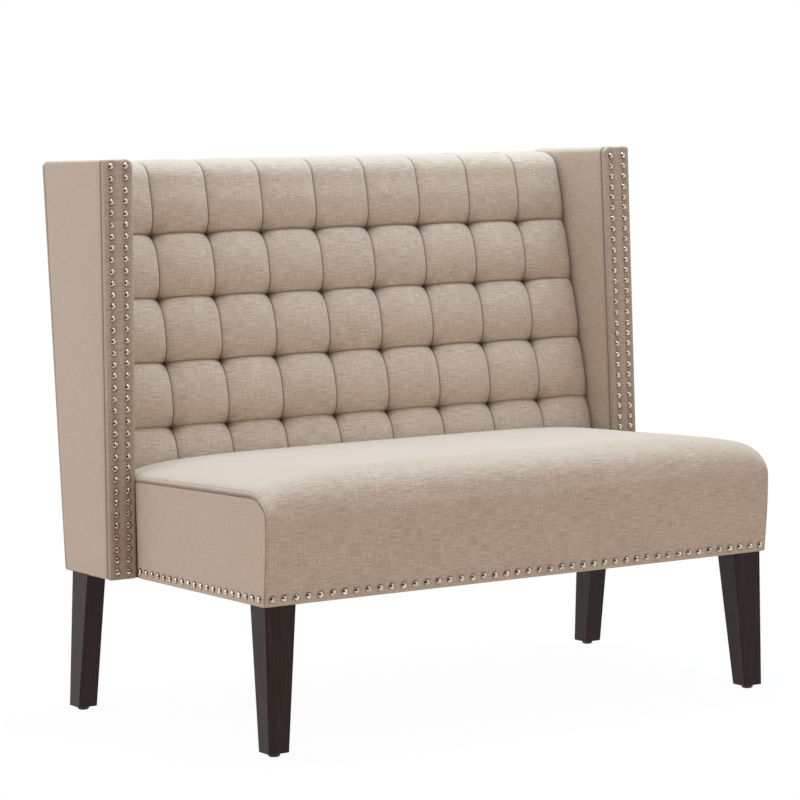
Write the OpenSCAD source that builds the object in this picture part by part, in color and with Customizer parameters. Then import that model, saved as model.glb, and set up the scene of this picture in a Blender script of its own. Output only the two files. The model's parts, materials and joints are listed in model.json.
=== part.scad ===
/* [Overall] */
// Width over the two wings at their foot
bench_w = 1220; // [1000:1:1600]
// Height of the back and the wings
bench_h = 1048; // [1000:1:1100]
// Height of the upholstery's underside above the floor
underside_z = 267; // [230:1:300]

/* [Seat] */
// Height of the side seam above the underside, at the front corner
seam_front_h = 190; // [180:1:200]
// How much lower the side seam lies at the back of the seat
seam_fall = 8; // [0:1:12]
// How far the seat crowns above its side seams
seat_crown = 40; // [25:1:45]
// How far the front swells beyond its lower edge
seat_swell = 14; // [8:1:18]
// Further swell at the middle of the front
front_crown = 4; // [1:1:6]
// Depth of the rounded front corner of the seat's profile
corner_d = 78; // [60:1:100]
// Height of the rounded front corner of the seat's profile
corner_h = 47; // [35:1:60]
// Depth of the seat from its front to the face of the tufts
seat_depth = 558; // [540:1:570]
// Thickness of the cover over the seat's top and front at its seams
cover_t = 3; // [2:0.5:4]
// Thickness of the padded side panels
side_panel_t = 5.5; // [4:0.5:7]
// Gap left between the seat's back end and the tufts
crevice = 4; // [3:0.5:6]

/* [Wings] */
// How far the wings' front faces stand before the back end of the seat's depth
wing_reach = 61; // [50:1:75]
// Depth of a wing at its foot
wing_foot_d = 192; // [180:1:200]
// How far the outside back leans beyond the wings' feet
back_lean = 69; // [50:1:85]
// Thickness of a wing at its foot
wing_foot_t = 55; // [50:1:58]
// Thickness of a wing at its top
wing_top_t = 61.5; // [59:0.5:66]
// How far a wing's outer face leans in from foot to top
wing_lean = 11; // [0:1:16]
// Thickness of the padded strip on a wing's front
strip_t = 12; // [8:1:16]
// Radius of the strip's front edges
strip_r = 5; // [3:0.5:7]
// Thickness of a wing's outer cover with its wadding
wing_cover_t = 5; // [3:0.5:7]
// Thickness of a wing's frame board
wing_frame_t = 28; // [24:1:30]
// Radius of a wing's outer top edge
wing_edge_r = 4; // [2:0.5:4.5]
// Width of the slots cut in a wing's frame board
wing_slot_w = 60; // [40:1:70]

/* [Tufted back] */
// Number of tufts across
tuft_cols = 9; // [7:1:11]
// Number of rows of tufts under the top row
tuft_rows = 4; // [3:1:5]
// How far the tufted face reaches below the seat's seam at the back
tuft_dip = 36; // [25:1:50]
// Height of the top row, up to the top of the back
tuft_top_h = 149; // [130:1:160]
// How far a tuft stands in front of its sewn corners
tuft_puff = 28; // [15:1:34]
// How far the tufts stand up along the top edge
top_puff = 10; // [6:1:14]
// Thickness of the back at its top, behind the tufts' sewn corners
back_top_t = 75; // [70:1:95]
// Foam behind the tufts' sewn corners
tuft_foam_t = 40; // [30:1:45]
// Radius of the roll at the back's top front edge
top_roll_r = 34; // [25:1:40]
// Padding over the back's top rail
top_pad_t = 14; // [10:1:18]
// Thickness of the ply board behind the tufts
tuft_board_t = 6; // [4:0.5:8]
// Thickness of the stiff board inside the outside back
rear_board_t = 3; // [2:0.5:4]
// Thickness of the fabric on the outside back
rear_cover_t = 2; // [1:0.5:3]

/* [Timber] */
// Height of the seat rails
rail_h = 81.5; // [70:0.5:90]
// Thickness of the seat rails
rail_t = 25; // [20:1:30]
// Thickness of the back's uprights
upright_t = 26; // [24:1:28]
// Height of the back's rails
back_rail_h = 50; // [40:1:60]
// Thickness of the dust cover and the fabric turned under
dust_t = 1.5; // [1:0.5:2.5]
// Thickness of the seat's cross braces
brace_t = 22; // [18:1:28]
// Height of the seat's cross braces
brace_h = 50; // [40:1:60]
// Leg of the triangular corner blocks
block_leg = 90; // [70:1:110]
// Height of the corner blocks
block_h = 69.5; // [60:0.5:72]

/* [Springs] */
// Number of sinuous springs
spring_count = 7; // [5:1:9]
// Width of a spring over its bars
spring_w = 62; // [50:1:75]
// Distance between a spring's bars
spring_pitch = 30; // [26:1:34]
// Thickness of the spring wire
wire_t = 3.5; // [3:0.25:4]
// Thickness of the spring clips
clip_t = 1.2; // [1:0.1:1.6]
// Width of the spring clips
clip_w = 22; // [16:1:26]
// Thickness of the felt pad over the springs
felt_t = 6; // [4:0.5:8]

/* [Legs] */
// Width of a front leg at its top
front_leg_top_w = 62; // [52:1:66]
// Depth of a front leg at its top
front_leg_top_d = 54; // [48:1:60]
// Width of a front leg at its foot
front_leg_foot_w = 41; // [34:1:46]
// Depth of a front leg at its foot
front_leg_foot_d = 37; // [32:1:44]
// Inset of a front leg from the side of the seat
front_leg_in_x = 7; // [2:1:12]
// Inset of a front leg from the lower front edge of the seat
front_leg_in_y = 8; // [4:1:14]
// Width of a back leg
back_leg_w = 38.5; // [34:0.5:42]
// Depth of a back leg at its top
back_leg_top_d = 65; // [56:1:70]
// Depth of a back leg at its foot
back_leg_foot_d = 41; // [34:1:48]
// Inset of a back leg's top from the back of the wing's foot
back_leg_in_y = 28; // [20:1:40]
// How far a back leg's foot is raked back from its top
back_leg_rake = 48; // [20:1:60]
// How far a back leg's foot stands out sideways from its top
back_leg_splay = 3.5; // [0:0.5:8]
// Inset of a back leg from the wing's outer face
back_leg_in_x = 1; // [0.5:0.5:4]
// Height of the glides
glide_h = 7; // [5:0.5:9]
// Radius of the glides
glide_r = 11; // [9:0.5:14]

/* [Nails] */
// Radius of a nail's head
nail_r = 5; // [4:0.25:5.5]
// Height of a nail's head
nail_h = 3.2; // [2.4:0.1:3.6]
// Nominal spacing of the nails on the wings
wing_nail_pitch = 21.5; // [20:0.5:26]
// Nominal spacing of the nails on the seat's front
seat_nail_pitch = 24.5; // [22:0.5:28]
// Nominal spacing of the nails on the seat's sides
side_nail_pitch = 23.5; // [22:0.5:28]
// Height of the seat's nails above its lower edge
seat_nail_up = 14; // [9:0.5:18]
// Inset of the outer nails from a wing's outer edge
nail_in_outer = 15; // [12:0.5:18]
// Inset of the inner nails from a wing's inner edge
nail_in_inner = 16; // [11:0.5:18]
// Inset of the end nails from the ends of their rows
nail_in_end = 15; // [11:0.5:18]

/* [Fixings] */
// Radius of the bolts in the frame and the legs
bolt_r = 4; // [3:0.25:5]
// Radius of the bolts' heads
bolt_head_r = 8; // [7:0.5:10]
// Height of the bolts' heads and of the nuts
bolt_head_h = 6; // [4:0.5:7]
// Depth of a leg's bolt in the leg
leg_bolt_d = 45; // [35:1:60]
// Depth of a bolt in a wing's frame board
frame_bolt_d = 20; // [15:1:22]
// Radius of the washers on the tufts' ties
tie_washer_r = 7; // [5:0.5:9]
// Thickness of the washers on the tufts' ties
tie_washer_t = 2; // [1.5:0.5:3]
// Radius of the holes for the tufts' ties
tie_hole_r = 2.5; // [2:0.25:3]
// Radius of the tufts' ties
tie_r = 1.5; // [1:0.25:1.75]

/* [Clearances] */
// Gap kept round soft pieces
soft_gap = 0.3; // [0.2:0.05:0.4]
// Radial gap of a bolt in its hole
bolt_gap = 0.05; // [0.03:0.01:0.1]

/* [Hidden] */

fabric_color = "#c3b29b";
timber_color = "#c9a877";
leg_color = "#2e2422";
nail_color = "#b8a894";
steel_color = "#9a9da0";
foam_color = "#e6dcbc";
dust_color = "#26262a";

// Planes that the pieces share
bench_d = seat_depth - wing_reach + wing_foot_d + back_lean;
front_y = -bench_d / 2;
rear_y = bench_d / 2;
seat_edge_y = front_y + seat_swell + front_crown;
wing_y = front_y + seat_depth - wing_reach;
foot_rear_y = wing_y + wing_foot_d;
frame_z = underside_z + dust_t;
rail_top_z = frame_z + rail_h;
body_h = bench_h - underside_z;
wing_top_z = bench_h - wing_cover_t;
reach = bench_w + bench_d;
seam_front_z = underside_z + seam_front_h;
seam_rear_z = seam_front_z - seam_fall;
crown_z = seam_rear_z + seat_crown;
corner_z = seam_front_z - corner_h;
tuft_low_z = seam_rear_z - tuft_dip;
tuft_row_h = (bench_h - tuft_top_h - tuft_low_z) / tuft_rows;
tuft_foot_y = front_y + seat_depth + tuft_puff;
tuft_lean = (rear_y - back_top_t - tuft_foot_y) / (bench_h - crown_z);
tuft_rake = atan(tuft_lean);
seat_rear_y = front_y + seat_depth - crevice;
rear_layers = rear_board_t + rear_cover_t;

// The wings' faces lean, and the back slopes, in proportion to the height above the underside
function up_share(z) = (z - underside_z) / body_h;
function outer_at(z) = bench_w / 2 - wing_lean * up_share(z);
function inner_at(z) = outer_at(z) - wing_foot_t - (wing_top_t - wing_foot_t) * up_share(z);
function board_out_at(z) = outer_at(z) - wing_cover_t;
function board_in_at(z) = board_out_at(z) - wing_frame_t;
function upright_in_at(z) = board_in_at(z) - upright_t;
function rear_at(z) = foot_rear_y + (rear_y - foot_rear_y) * up_share(z);
function tuft_at(z) = tuft_foot_y + (z - crown_z) * tuft_lean;
function board_at(z) = tuft_at(z) + tuft_foam_t + soft_gap;

// The seat is as wide as the space between the wings at their foot, and a little less above
seat_half = bench_w / 2 - wing_foot_t;
frame_half = seat_half - side_panel_t;
rail_front_y = seat_edge_y + cover_t + soft_gap;
rail_in_x = frame_half - rail_t;
back_rail_y = seat_rear_y - rail_t;
felt_z = rail_top_z + 2 * clip_t + wire_t;
foam_z = felt_z + felt_t;

// A prism with one outline across and another along, such as a board with sloping edges
module across(outline) {
    translate([0, reach, 0]) rotate([90, 0, 0]) linear_extrude(2 * reach) polygon(outline);
}
module along(outline) {
    translate([-reach, 0, 0]) rotate([90, 0, 90]) linear_extrude(2 * reach) polygon(outline);
}
module crossed(xz, yz) {
    intersection() {
        across(xz);
        along(yz);
    }
}
module mirrored(side) {
    mirror([side < 0 ? 1 : 0, 0, 0]) children();
}

// Legs
front_leg_x = seat_half - front_leg_in_x;
front_leg_y = seat_edge_y + front_leg_in_y;
front_bolt_x = front_leg_x - front_leg_top_w + front_leg_foot_w / 2;
front_bolt_y = front_leg_y + front_leg_foot_d;
back_leg_x = outer_at(underside_z) - back_leg_in_x;
back_leg_rear_y = foot_rear_y - back_leg_in_y;
back_leg_front_y = back_leg_rear_y - back_leg_top_d;
back_foot_y = back_leg_front_y + back_leg_rake;
back_bolt_x = (board_in_at(frame_z) + board_out_at(frame_z)) / 2;
back_bolt_y = (back_leg_front_y + back_leg_rear_y) / 2;
leg_bolt_top = frame_z + block_h + bolt_head_h;

module bolt_hole(x, y, z, depth) {
    translate([x, y, z]) cylinder(r = bolt_r + bolt_gap, h = depth, $fn = 32);
}
module front_leg(side) {
    color(leg_color) mirrored(side) difference() {
        crossed([[front_leg_x - front_leg_foot_w, glide_h], [front_leg_x, glide_h],
                 [front_leg_x, frame_z], [front_leg_x - front_leg_top_w, frame_z]],
                [[front_leg_y, glide_h], [front_leg_y + front_leg_foot_d, glide_h],
                 [front_leg_y + front_leg_top_d, frame_z], [front_leg_y, frame_z]]);
        bolt_hole(front_bolt_x, front_bolt_y, frame_z - leg_bolt_d - bolt_r, leg_bolt_d + 2 * bolt_r);
    }
}
module back_leg(side) {
    color(leg_color) mirrored(side) difference() {
        crossed([[back_leg_x - back_leg_w + back_leg_splay, glide_h],
                 [back_leg_x + back_leg_splay, glide_h],
                 [back_leg_x, frame_z], [back_leg_x - back_leg_w, frame_z]],
                [[back_foot_y, glide_h], [back_foot_y + back_leg_foot_d, glide_h],
                 [back_leg_rear_y, frame_z], [back_leg_front_y, frame_z]]);
        bolt_hole(back_bolt_x, back_bolt_y, frame_z - leg_bolt_d - bolt_r, leg_bolt_d + 2 * bolt_r);
    }
}
module front_leg_left() { front_leg(-1); }
module front_leg_right() { front_leg(1); }
module back_leg_left() { back_leg(-1); }
module back_leg_right() { back_leg(1); }

// A glide is a flat-bottomed dome under the middle of a leg's foot
glide_profile_shares = [[0, 0], [0.72, 0], [0.94, 0.2], [1, 0.5], [1, 1], [0, 1]];
module glide() {
    rotate_extrude($fn = 32) polygon([for (p = glide_profile_shares) [p[0] * glide_r, p[1] * glide_h]]);
}
module leg_glides() {
    color("#1c1b1b") for (side = [-1, 1]) {
        translate([side * (front_leg_x - front_leg_foot_w / 2), front_leg_y + front_leg_foot_d / 2, 0])
            glide();
        translate([side * (back_leg_x + back_leg_splay - back_leg_w / 2),
                   back_foot_y + back_leg_foot_d / 2, 0])
            glide();
    }
}
module leg_bolts() {
    color(steel_color) for (side = [-1, 1]) {
        translate([side * front_bolt_x, front_bolt_y, frame_z - leg_bolt_d])
            cylinder(r = bolt_r, h = leg_bolt_d + block_h + bolt_head_h, $fn = 32);
        translate([side * back_bolt_x, back_bolt_y, frame_z - leg_bolt_d])
            cylinder(r = bolt_r, h = 2 * leg_bolt_d, $fn = 32);
    }
}
module leg_nuts() {
    color(steel_color) for (side = [-1, 1])
        translate([side * front_bolt_x, front_bolt_y, frame_z + block_h]) difference() {
            union() {
                cylinder(r = bolt_head_r + bolt_r / 2, h = bolt_head_h / 4, $fn = 32);
                cylinder(r = bolt_head_r, h = bolt_head_h, $fn = 6);
            }
            translate([0, 0, -bolt_r]) cylinder(r = bolt_r + bolt_gap, h = bolt_head_h + 2 * bolt_r, $fn = 32);
        }
}

// Seat frame
module rail_box(x, y, size) {
    translate([x, y, frame_z]) cube(size);
}
module seat_front_rail() {
    color(timber_color) rail_box(-frame_half, rail_front_y, [2 * frame_half, rail_t, rail_h]);
}
module seat_back_rail() {
    color(timber_color) rail_box(-rail_in_x, back_rail_y, [2 * rail_in_x, rail_t, rail_h]);
}
seat_bolt_z = frame_z + rail_h / 2;
block_bolt_y = seat_rear_y + 2 * bolt_head_r;
upright_bolt_y = (board_at(seat_bolt_z) + rear_at(seat_bolt_z) - rear_layers) / 2;
module frame_hole(x, y, z, depth) {
    translate([x, y, z]) rotate([0, 90, 0]) cylinder(r = bolt_r + bolt_gap, h = depth, $fn = 32);
}
module seat_side_rail(side) {
    color(timber_color) mirrored(side) difference() {
        crossed([[rail_in_x, frame_z], [frame_half, frame_z], [frame_half, rail_top_z],
                 [rail_in_x, rail_top_z]],
                [[rail_front_y + rail_t, frame_z], [rear_at(frame_z) - rear_layers, frame_z],
                 [rear_at(rail_top_z) - rear_layers, rail_top_z], [rail_front_y + rail_t, rail_top_z]]);
        for (y = [block_bolt_y, upright_bolt_y])
            frame_hole(rail_in_x - rail_t / 2, y, seat_bolt_z, 2 * rail_t);
    }
}
module seat_side_rail_left() { seat_side_rail(-1); }
module seat_side_rail_right() { seat_side_rail(1); }
module rear_stretcher() {
    top_z = frame_z + brace_h;
    color(timber_color) crossed(
        [[-rail_in_x, frame_z], [rail_in_x, frame_z], [rail_in_x, top_z], [-rail_in_x, top_z]],
        [[rear_at(frame_z) - rear_layers - rail_t, frame_z], [rear_at(frame_z) - rear_layers, frame_z],
         [rear_at(top_z) - rear_layers, top_z], [rear_at(top_z) - rear_layers - rail_t, top_z]]);
}
module corner_block(y, turn) {
    translate([0, 0, frame_z]) linear_extrude(block_h)
        polygon([[rail_in_x, y], [rail_in_x - block_leg, y], [rail_in_x, y + turn * block_leg]]);
}
module corner_blocks() {
    color(timber_color) for (side = [-1, 1]) mirrored(side) {
        difference() {
            corner_block(rail_front_y + rail_t, 1);
            bolt_hole(front_bolt_x, front_bolt_y, frame_z - bolt_r, block_h + 2 * bolt_r);
        }
        corner_block(back_rail_y, -1);
    }
}
module cross_braces() {
    color(timber_color) for (side = [-1, 1])
        translate([side * rail_in_x / 3 - brace_t / 2, rail_front_y + rail_t, frame_z])
            cube([brace_t, back_rail_y - rail_front_y - rail_t, brace_h]);
}

// Sinuous springs: flat bars joined by half rings, alternately left and right
spring_y0 = rail_front_y + rail_t / 2;
spring_run = back_rail_y + rail_t / 2 - spring_y0;
spring_bars = 2 * floor(spring_run / spring_pitch / 2) + 1;
spring_step = spring_run / (spring_bars - 1);
bend_turns = [0, 45, 90, 135, 180];
spring_bend_x = (spring_w - spring_step) / 2;
function bend(k, r, way) = [for (a = bend_turns)
    [(k % 2 == 0 ? 1 : -1) * (spring_bend_x + r * sin(a)), (k + 0.5) * spring_step - way * r * cos(a)]];
// The wire's edge on one side: its bend radius is alternately the outer and the inner one
function spring_edge(out) = [for (k = [0:spring_bars - 2])
    each bend(k, spring_step / 2 + (k % 2 == 0 ? out : -out) * wire_t / 2, 1)];
function flipped(list) = [for (i = [len(list) - 1:-1:0]) list[i]];
spring_tail = wire_t / 2;
module spring() {
    right = spring_edge(1);
    left = spring_edge(-1);
    last_y = (spring_bars - 1) * spring_step;
    polygon(concat(
        [[-spring_bend_x, -spring_tail]], right, [[spring_bend_x, last_y - spring_tail]],
        [[spring_bend_x, last_y + spring_tail]], flipped(left), [[-spring_bend_x, spring_tail]]));
}
spring_places = [for (i = [0:spring_count - 1])
    (i - (spring_count - 1) / 2) * (2 * rail_in_x - spring_w) / spring_count];
module seat_springs() {
    color(steel_color) for (x = spring_places)
        translate([x, spring_y0, rail_top_z + clip_t]) linear_extrude(wire_t) spring();
}
// A clip is a strip bent over the end bar, open towards the seat
module clip(turn) {
    deep = rail_t / 2 - 2 * clip_t;
    inside = wire_t + 2 * bolt_gap;
    outline = [[-deep, 0], [wire_t, 0], [wire_t, clip_t], [-inside, clip_t], [-inside, clip_t + wire_t],
               [wire_t, clip_t + wire_t], [wire_t, 2 * clip_t + wire_t], [-inside - clip_t, 2 * clip_t + wire_t],
               [-inside - clip_t, clip_t], [-deep, clip_t]];
    rotate([0, 0, turn]) translate([-clip_w / 2, 0, 0]) rotate([90, 0, 90]) linear_extrude(clip_w)
        polygon(outline);
}
module spring_clips() {
    color(steel_color) for (i = [0:spring_count - 1]) {
        translate([spring_places[i], spring_y0, rail_top_z]) clip(0);
        translate([spring_places[i], spring_y0 + spring_run, rail_top_z]) clip(180);
    }
}
module felt_pad() {
    color("#8d8a83") translate([-frame_half + soft_gap, rail_front_y, felt_z])
        cube([2 * (frame_half - soft_gap), seat_rear_y - rail_front_y, felt_t]);
}

// The seat's profile from its lower front edge, over the rounded corner, to its back end,
// drawn in from the seam by a given amount
front_shares = [0, 0.2, 0.42, 0.7, 1];
corner_turns = [15, 30, 45, 60, 75, 90];
top_shares = [0.2, 0.45, 0.7, 0.86];
function front_line(s, inset) = [seat_edge_y - seat_swell * sin(90 * s) + inset,
    underside_z + (corner_z - underside_z) * s];
function corner_line(a, inset) = [front_y + front_crown + corner_d - (corner_d - inset) * cos(a),
    corner_z + (corner_h - inset) * sin(a)];
top_start_y = front_y + front_crown + corner_d;
function seam_z_at(y) = seam_front_z - seam_fall * (y - top_start_y) / (seat_rear_y - top_start_y);
function seat_front_corner(inset) = concat([for (s = front_shares) front_line(s, inset)],
    [for (a = corner_turns) corner_line(a, inset)]);
module seat_foam() {
    inset = cover_t + soft_gap;
    corner = [for (p = seat_front_corner(inset)) if (p[1] > foam_z) p];
    start = seat_edge_y - seat_swell * sin(90 * (foam_z - underside_z) / (corner_z - underside_z)) + inset;
    color(foam_color) crossed(
        [[-frame_half + soft_gap, foam_z], [frame_half - soft_gap, foam_z],
         [frame_half - soft_gap, bench_h], [-frame_half + soft_gap, bench_h]],
        concat([[seat_rear_y, foam_z], [start, foam_z]], corner, [[seat_rear_y, seam_rear_z - inset]]));
}
// Wadding between the front rail and the swelling front
module front_edge_pad() {
    inset = cover_t + soft_gap;
    low = front_line(front_shares[1], inset);
    face = [for (s = front_shares) if (s > front_shares[1] && front_line(s, 0)[1] < foam_z) front_line(s, inset)];
    top = seat_edge_y - seat_swell * sin(90 * (foam_z - underside_z) / (corner_z - underside_z)) + inset;
    back = rail_front_y - soft_gap;
    color(foam_color) crossed(
        [[-frame_half + soft_gap, frame_z], [frame_half - soft_gap, frame_z],
         [frame_half - soft_gap, foam_z], [-frame_half + soft_gap, foam_z]],
        concat([[back, low[1]], low], face, [[top, foam_z - soft_gap], [back, foam_z - soft_gap]]));
}

// The crowned cover. Each station is a point of the seam's profile, the direction in which the
// crown rises there, how far it rises, half the seat's width there and a point of the inner face
crown_shares = [0, 0, 0.35, 0.75, 1];
crown_end_share = 0.82;
function corner_rise(a) = front_crown + (seat_crown - front_crown) * pow(sin(a), 2);
function top_rise(s) = seat_crown * (1 - (1 - crown_end_share) * pow(s, 2));
function top_point(y, inset) = [y, seam_z_at(y) - inset];
top_ys = concat([for (s = top_shares) top_start_y + (wing_y - top_start_y) * s / top_shares[3] * 0.97],
    [wing_y - 3 * soft_gap, wing_y - soft_gap, (wing_y + seat_rear_y) / 2, seat_rear_y]);
function station(p, way, rise, half, inner) = [p, way, rise, half, inner];
inner_half = frame_half - soft_gap;
seat_stations = concat(
    [for (i = [0:len(front_shares) - 1]) station(front_line(front_shares[i], 0), [-1, 0],
        front_crown * crown_shares[i], seat_half, front_line(front_shares[i], cover_t))],
    [for (a = corner_turns) station(corner_line(a, 0), [-cos(a), sin(a)], corner_rise(a), seat_half,
        corner_line(a, cover_t))],
    [for (y = top_ys) station(top_point(y, 0), [0, 1],
        top_rise((y - top_start_y) / (seat_rear_y - top_start_y)),
        y > wing_y - 2 * soft_gap ? inner_half : seat_half, top_point(y, cover_t))]);
seat_column_shares = [-1, -0.975, -0.93, -0.86, -0.75, -0.55, -0.28, 0, 0.28, 0.55, 0.75, 0.86, 0.93, 0.975, 1];
crown_power = 5;
crown_root = 0.5;
function crown_at(u) = abs(u) > 0.999 ? 0 : pow(1 - pow(abs(u), crown_power), crown_root);
// Two triangles for each cell of a grid of points with a given number in each row
function grid_faces(rows, cols, start, flip) = [for (r = [0:rows - 2]) for (c = [0:cols - 2])
    let (a = start + r * cols + c, b = a + 1, d = a + cols, e = d + 1)
    each flip ? [[a, d, b], [b, d, e]] : [[a, b, d], [b, e, d]]];
module seat_top_cover() {
    rows = len(seat_stations);
    cols = len(seat_column_shares);
    outer = [for (s = seat_stations) for (u = seat_column_shares)
        [u * s[3], s[0][0] + s[1][0] * s[2] * crown_at(u), s[0][1] + s[1][1] * s[2] * crown_at(u)]];
    inner = [for (s = seat_stations) for (u = [-1, 1]) [u * s[3], s[4][0], s[4][1]]];
    base = len(outer);
    half = floor(cols / 2);
    // The rim joins an end row of the outer face to the two end points of the inner one
    function rim(row, flip) = let (a = row * cols, l = base + 2 * row, r = l + 1)
        concat([for (c = [0:half - 1]) flip ? [l, a + c, a + c + 1] : [l, a + c + 1, a + c]],
               [flip ? [l, a + half, r] : [l, r, a + half]],
               [for (c = [half:cols - 2]) flip ? [r, a + c, a + c + 1] : [r, a + c + 1, a + c]]);
    function edge(side, flip) = [for (i = [0:rows - 2])
        let (a = i * cols + (side < 0 ? 0 : cols - 1), b = a + cols, c = base + 2 * i + (side < 0 ? 0 : 1), d = c + 2)
        each flip ? [[a, c, b], [b, c, d]] : [[a, b, c], [b, d, c]]];
    color(fabric_color) polyhedron(points = concat(outer, inner),
        faces = concat(grid_faces(rows, cols, 0, true), grid_faces(rows, 2, base, false),
                       rim(0, true), rim(rows - 1, false), edge(-1, true), edge(1, false)),
        convexity = 6);
}
module seat_side_cover(side) {
    inset = cover_t + soft_gap;
    end_y = wing_y - soft_gap;
    color(fabric_color) mirrored(side) crossed(
        [[frame_half, underside_z], [seat_half, underside_z], [seat_half, bench_h], [frame_half, bench_h]],
        concat(seat_front_corner(inset), [[end_y, seam_z_at(end_y) - inset], [end_y, underside_z]]));
}
module seat_side_cover_left() { seat_side_cover(-1); }
module seat_side_cover_right() { seat_side_cover(1); }
module dust_cover() {
    side = frame_half - cover_t;
    color(dust_color) difference() {
        translate([-side, rail_front_y + cover_t, underside_z])
            cube([2 * side, rear_at(underside_z) - rear_layers - rail_front_y - 2 * cover_t, dust_t]);
        for (s = [-1, 1]) mirrored(s)
            translate([front_leg_x - front_leg_top_w - cover_t, front_leg_y - cover_t, underside_z - dust_t])
                cube([front_leg_top_w + 2 * cover_t, front_leg_top_d + 2 * cover_t, 3 * dust_t]);
    }
}

// Nails: a domed head with its flat side on the fabric
nail_profile_shares = [[0, 0], [1, 0], [0.74, 0.7], [0, 1]];
module nail() {
    rotate_extrude($fn = 14) polygon([for (p = nail_profile_shares) [p[0] * nail_r, p[1] * nail_h]]);
}
function spaced(a, b, pitch) = let (n = max(1, round(abs(b - a) / pitch))) [for (i = [0:n]) a + (b - a) * i / n];
band_top = front_line(front_shares[1], 0);
band_tilt = atan((seat_edge_y - band_top[0]) / (band_top[1] - underside_z));
front_nail_y = seat_edge_y - seat_nail_up * tan(band_tilt);
module seat_front_nails() {
    color(nail_color) for (x = spaced(nail_in_end - seat_half, seat_half - nail_in_end, seat_nail_pitch))
        translate([x, front_nail_y, underside_z + seat_nail_up]) rotate([90 + band_tilt, 0, 0]) nail();
}
module seat_side_nails(side) {
    color(nail_color) mirrored(side)
        for (y = spaced(seat_edge_y + nail_in_end, wing_y - nail_in_end, side_nail_pitch))
            translate([seat_half, y, underside_z + seat_nail_up]) rotate([0, 90, 0]) nail();
}
module seat_side_nails_left() { seat_side_nails(-1); }
module seat_side_nails_right() { seat_side_nails(1); }

// Back frame
top_base_z = bench_h - top_puff;
top_rail_z = top_base_z - top_pad_t;
module back_board(z0, z1, front, back, half_in, half_out) {
    crossed([[half_in(z0), z0], [half_out(z0), z0], [half_out(z1), z1], [half_in(z1), z1]],
            [[front(z0), z0], [back(z0), z0], [back(z1), z1], [front(z1), z1]]);
}
frame_back_at = function(z) rear_at(z) - rear_layers;
rail_face_at = function(z) board_at(z) + tuft_board_t;
upright_z1 = top_rail_z - soft_gap;
upright_bolt_shares = [0.45, 0.8];
upright_bolt_zs = [for (s = upright_bolt_shares) underside_z + s * body_h];
function upright_mid_at(z) = (board_at(z) + rear_at(z) - rear_layers) / 2;
module back_upright(side) {
    color(timber_color) mirrored(side) difference() {
        back_board(frame_z, upright_z1, function(z) board_at(z), frame_back_at,
                   function(z) upright_in_at(z), function(z) board_in_at(z));
        frame_hole(upright_in_at(seat_bolt_z) - upright_t, upright_bolt_y, seat_bolt_z, 3 * upright_t);
        for (z = upright_bolt_zs)
            frame_hole(upright_in_at(z) - upright_t, upright_mid_at(z), z, 3 * upright_t);
    }
}
module back_upright_left() { back_upright(-1); }
module back_upright_right() { back_upright(1); }
module back_rail(z0, z1) {
    color(timber_color) back_board(z0, z1, rail_face_at, frame_back_at,
        function(z) -upright_in_at(z), function(z) upright_in_at(z));
}
function tuft_row_z(k) = bench_h - tuft_top_h - k * tuft_row_h;
tuft_mid_z = (tuft_row_z(1) + tuft_row_z(2)) / 2;
module back_top_rail() { back_rail(upright_z1 - back_rail_h, upright_z1); }
module back_middle_rail() { back_rail(tuft_mid_z - back_rail_h / 2, tuft_mid_z + back_rail_h / 2); }
module back_bottom_rail() { back_rail(tuft_low_z, tuft_low_z + back_rail_h); }

// Tufts
tuft_pitch = 2 * inner_at(tuft_mid_z) / tuft_cols;
tuft_xs = [for (i = [1:tuft_cols - 1]) (i - tuft_cols / 2) * tuft_pitch];
module at_ties() {
    for (k = [0:tuft_rows - 1]) for (x = tuft_xs)
        translate([x, board_at(tuft_row_z(k)), tuft_row_z(k)]) rotate([-90 - tuft_rake, 0, 0]) children();
}
module tuft_board() {
    color("#d8bd8c") difference() {
        back_board(tuft_low_z, upright_z1, function(z) board_at(z), rail_face_at,
            function(z) -upright_in_at(z), function(z) upright_in_at(z));
        at_ties() translate([0, 0, -tuft_board_t]) cylinder(r = tie_hole_r, h = 3 * tuft_board_t, $fn = 24);
    }
}
board_through = tuft_board_t * cos(tuft_rake);
module tuft_ties() {
    color("#e9e4d6") at_ties() {
        cylinder(r = tie_r, h = board_through, $fn = 16);
        translate([0, 0, board_through]) cylinder(r = tie_washer_r, h = tie_washer_t, $fn = 24);
    }
}

// The tufted face. A tuft's height is full at its middle, keeps a share of it along its seams,
// and falls to nothing at its four sewn corners
col_shares = [0, 0.1, 0.3, 0.7, 0.9];
row_shares = [0, 0.14, 0.5, 0.86];
upright_seam_share = 0.62;
level_seam_share = 0.42;
function swell_at(s) = sqrt(max(0, 1 - pow(2 * s - 1, 2)));
// Columns as [tuft edge on its left, tuft edge on its right, share between them]
tuft_edges = concat([-1], tuft_xs, [1]);
tuft_columns = concat([for (i = [0:tuft_cols - 1]) for (s = col_shares) [i, s]], [[tuft_cols - 1, 1]]);
function edge_x(i, z) = i == 0 ? soft_gap - inner_at(z) : i == tuft_cols ? inner_at(z) - soft_gap : tuft_edges[i];
function column_x(c, z) = edge_x(c[0], z) * (1 - c[1]) + edge_x(c[0] + 1, z) * c[1];
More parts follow.
